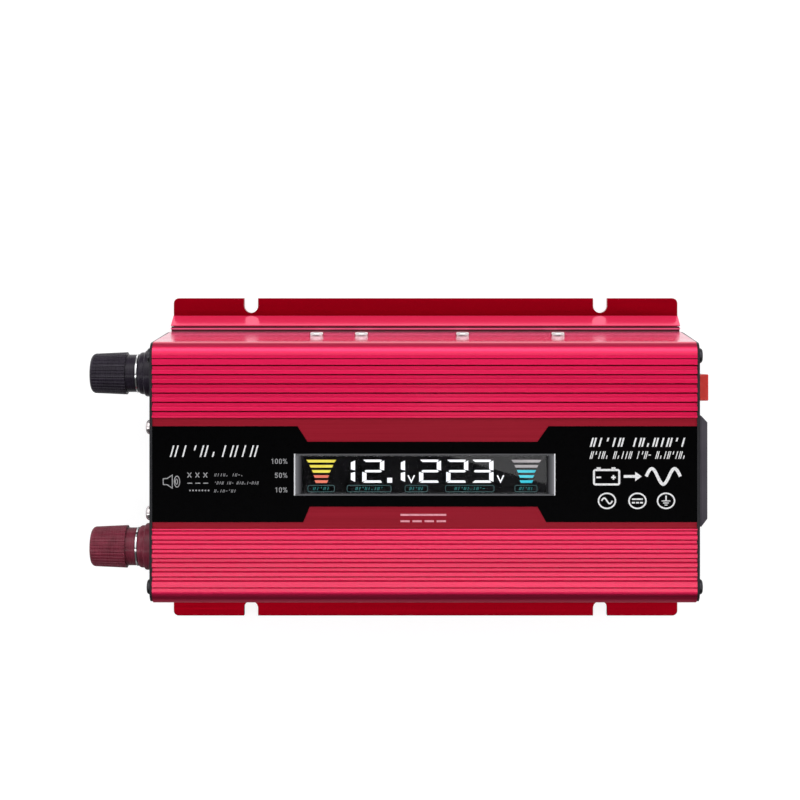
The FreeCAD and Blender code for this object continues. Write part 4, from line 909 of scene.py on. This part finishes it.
def level_bar(letter, a, b, low, top):
    """One level segment between a and b: a at the top, g in the middle or d at the foot."""
    t, middle = LEVEL_T, (low + top) / 2
    if letter == "a":
        return [(a + 0.5, top - t), (b - 0.5, top - t), (b, top - 0.15), (b - 0.3, top),
                (a - 0.4, top), (a - 0.3, top - 0.2)]
    if letter == "g":
        return [(a, middle), (a + 0.5, middle - t / 2), (b - 0.5, middle - t / 2), (b, middle),
                (b - 0.5, middle + t / 2), (a + 0.5, middle + t / 2)]
    return [(a - 0.4, low), (b - 0.3, low), (b, low + 0.15), (b - 0.5, low + t),
            (a + 0.5, low + t), (a - 0.3, low + 0.2)]


def upright_bar(letter, x, low, top):
    """One upright segment: f and e on the left, b and c on the right, f and b in the upper half."""
    gap, middle = SEGMENT_GAP + 0.12, (low + top) / 2
    left = x if letter in "fe" else x + DIGIT_W - UPRIGHT_W
    outer, inner = (left, left + UPRIGHT_W) if letter in "fe" else (left + UPRIGHT_W, left)
    if letter in "fb":
        y0, y1 = middle + gap, top - LEVEL_T * 0.35
        return [(outer, y0), (inner, y0 + SLANT / 2), (inner, y1 - SLANT), (outer, y1)]
    y0, y1 = low + LEVEL_T * 0.35, middle - gap
    return [(outer, y0), (inner, y0 + SLANT), (inner, y1 - SLANT / 2), (outer, y1)]


def figure(character, x, low):
    """One seven-segment figure with its lower left corner at (x, low)."""
    top = low + DIGIT_H
    inset = UPRIGHT_W * 0.42 + SEGMENT_GAP
    shapes = []
    for letter in SEGMENTS[character]:
        if letter in "agd":
            shapes.append(outline(level_bar(letter, x + inset, x + DIGIT_W - inset, low, top)))
        else:
            shapes.append(outline(upright_bar(letter, x, low, top)))
    return shapes


def display_figures():
    """The two readings: volts in and volts out."""
    shapes = figure("1", -25.8 - DIGIT_W, DIGIT_LOW) + figure("2", -23.2, DIGIT_LOW)
    shapes += figure("1", -7.6 - DIGIT_W, DIGIT_LOW) + figure("2", -2.5, DIGIT_LOW)
    shapes += figure("2", 7.4, DIGIT_LOW) + figure("3", 16.6, DIGIT_LOW)
    shapes.append(box_outline(-14.1, DIGIT_LOW, -12.3, DIGIT_LOW + 1.8))
    for x in (-6.5, 26.0):
        low, top = DIGIT_LOW + 0.1, DIGIT_LOW + 2.7
        shapes.append(stroke([(x, top), (x + 1.15, low + 0.2), (x + 2.3, top)], 0.50))
    return shapes


GAUGE_HALF = (5.5, 4.4, 3.5, 2.85, 2.5)  # half the length of each bar, from the top down
GAUGE_TOP = 4.0
GAUGE_PITCH = 1.86
GAUGE_BAR_T = 0.98


def gauge_bars(cx, which):
    shapes = []
    for k in which:
        y, half = GAUGE_TOP - GAUGE_PITCH * k, GAUGE_HALF[k]
        low, top = y - GAUGE_BAR_T / 2, y + GAUGE_BAR_T / 2
        taper = 0.8 if k == 0 else 0.5
        foot = half - taper
        shapes.append(outline([(cx - foot, low), (cx + foot, low), (cx + half, top), (cx - half, top)]))
    return shapes


def caption_boxes():
    """The outlined captions under the gauges and readings, with marks in place of words."""
    frames, words = [], []
    for x0, x1 in ((-43.0, -33.3), (-28.7, -12.7), (-7.6, 0.6), (7.1, 24.8), (32.4, 40.5)):
        frames.append(rounded_box(x0, -7.15, x1, -4.8, 0.7, 0.22))
        inset = (x1 - x0) * 0.18
        count = max(5, round((x1 - x0 - 2 * inset) / 1.15))
        words += dummy_text(x0 + inset, x1 - inset, -6.55, -5.4, ("niunilinudni" * 2)[:count], 0.24)
    return frames, words


LOAD_X, CHARGE_X = -38.1, 36.6
# Each lit group of gauge bars: centre, bars counted from the top, lamp, dim and bright tone, strength.
GAUGES = {
    "load_bars_high": (LOAD_X, (0, 1, 2), "lit_yellow", (0.93, 0.78, 0.07), (1.0, 0.90, 0.14), 1.0),
    "load_bars_low": (LOAD_X, (3, 4), "lit_orange", (0.86, 0.16, 0.10), (0.95, 0.24, 0.15), 0.95),
    "charge_bars_off": (CHARGE_X, (0, 1), "lit_grey", (0.42, 0.39, 0.40), (0.55, 0.51, 0.52), 0.9),
    "charge_bars_on": (CHARGE_X, (2, 3, 4), "lit_cyan", (0.03, 0.60, 0.74), (0.07, 0.76, 0.90), 0.95),
}


def light_display():
    """Lights the figures, the gauges and their captions on the display glass."""
    place = on_top(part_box("lcd_glass")[1].z)
    white = glow("lit_white", (0.95, 0.97, 1.0), (1.0, 1.0, 1.0), 1.25)
    print_on("display_figures", display_figures(), place, white)
    for name, (cx, which, *lamp) in GAUGES.items():
        print_on(name, gauge_bars(cx, which), place, glow(*lamp))
    frames, words = caption_boxes()
    dim = glow("lit_dim_teal", (0.03, 0.09, 0.09), (0.06, 0.14, 0.14), 0.9)
    print_on("caption_frames", frames, place, dim)
    teal = glow("lit_teal", (0.01, 0.17, 0.17), (0.03, 0.27, 0.26), 0.9)
    print_on("caption_marks", words, place, teal)


# ---------------------------------------------------------------- marks on the ends


def on_plate(node, facing):
    """Places shapes on an end plate, drawn as (y, z), standing out along X."""
    low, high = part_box(node)
    x = high.x if facing > 0 else low.x
    return lambda y, z, lift: Vector((x + facing * lift * MM, y * MM, z * MM))


OUTSIDE = 0.2  # metres from the middle, beyond either end


def on_surface(node, facing):
    """Places shapes drawn as (y, z) on whatever part of a node's face lies under them, looking along X."""
    source = frame["nodes"][node].data
    tree = BVHTree.FromPolygons([v.co for v in source.vertices], [p.vertices for p in source.polygons])
    start = OUTSIDE * facing

    def place(y, z, lift):
        hit = tree.ray_cast(Vector((start, y * MM, z * MM)), Vector((-facing, 0.0, 0.0)))[0]
        return Vector((hit.x + facing * lift * MM, y * MM, z * MM))

    return place


def polarity_marks():
    """A plus and a minus above the terminals."""
    shapes = []
    arm, half, gap = 2.0, 0.4, 4.0
    for node in ("negative_collar", "positive_collar"):
        low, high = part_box(node)
        y, z = (low.y + high.y) / 2 / MM, high.z / MM + gap
        shapes.append(box_outline(y - arm, z - half, y + arm, z + half))
    shapes.append(box_outline(y - half, z + half, y + half, z + arm))
    shapes.append(box_outline(y - half, z - arm, y + half, z - half))
    return shapes


def rocker_marks():
    """A bar for on and a ring for off."""
    low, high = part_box("switch_rocker")
    y, z = (low.y + high.y) / 2 / MM, (low.z + high.z) / 2 / MM
    return [box_outline(y - 0.35, z + 2.6, y + 0.35, z + 5.8), ring(y, z - 4.2, 1.5, 1.6, 0.55)]


def add_prints():
    """Everything printed on the label, the cover, the DC end plate and the rocker."""
    white = ink("ink_white", (0.62, 0.62, 0.63), (0.88, 0.88, 0.88))
    pink = ink("ink_pink", (0.62, 0.22, 0.28), (0.80, 0.34, 0.40))
    label_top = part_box("label_overlay")[1].z
    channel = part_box("label_overlay")[0].z
    grey = ink("ink_grey", (0.24, 0.24, 0.25), (0.42, 0.42, 0.43))
    print_on("label_printing", label_printing(), on_top(label_top), white)
    print_on("label_small_printing", scale_figures() + sound_key(), on_top(label_top), grey)
    print_on("direct_current_mark", direct_current_mark(), on_top(channel), pink)
    print_on("polarity_marks", polarity_marks(), on_plate("dc_end_plate", -1), white)
    print_on("rocker_marks", rocker_marks(), on_surface("switch_rocker", 1), white, body="rocker")


# ---------------------------------------------------------------- putting it together


FLOOR_HALF = 2.5
FLOOR_DROP = 0.0002  # how far the floor lies below the object
FLOOR_WHITE = 0.85


def add_floor():
    """White paper under the object, which shines to the camera and in a strip behind the object."""
    mesh = bmesh.new()
    bmesh.ops.create_grid(mesh, x_segments=2, y_segments=2, size=FLOOR_HALF)
    data = bpy.data.meshes.new("floor")
    mesh.to_mesh(data)
    mesh.free()
    r = Recipe("floor_paper", Specular_IOR_Level=0.1, Emission_Color=(1.0, 1.0, 1.0))
    seen = r.tree.nodes.new("ShaderNodeLightPath").outputs["Is Camera Ray"]
    behind = r.ramp(r.axis("y"), 0.0, 1.0, -0.05, 0.10)
    near = r.ramp(r.axis("y"), 1.0, 0.10, 0.09, 0.16)
    plain = r.maths("MULTIPLY", seen, FLOOR_WHITE)
    r.shader(Emission_Strength=r.maths("MAXIMUM", plain, r.maths("MULTIPLY", behind, near)))
    paper = r.noise(300.0, detail=3.0)
    r.shader(Base_Color=r.ramp(paper, (0.26, 0.26, 0.262), (0.29, 0.29, 0.292)))
    r.shader(Roughness=r.ramp(paper, 0.7, 0.85))
    data.materials.append(r.material)
    floor = bpy.data.objects.new("floor", data)
    floor.location.z = cad_box[0].z - FLOOR_DROP
    SCENE.collection.objects.link(floor)


SCENE.view_settings.view_transform = "Standard"
add_camera()
add_sky()
add_floor()
add_softbox("window_card", place=(0.063, -0.0735, 0.90), aim=(0.063, -0.0735, 0.0),
            width=0.17, depth=0.05, power=0.019, turn=-16.0)
add_softbox("rear_softbox", place=(0.0, 0.95, 0.85), aim=(0.0, 0.0, 0.02), width=1.6, depth=0.7, power=4.5)
dress_nodes()
add_prints()
light_display()
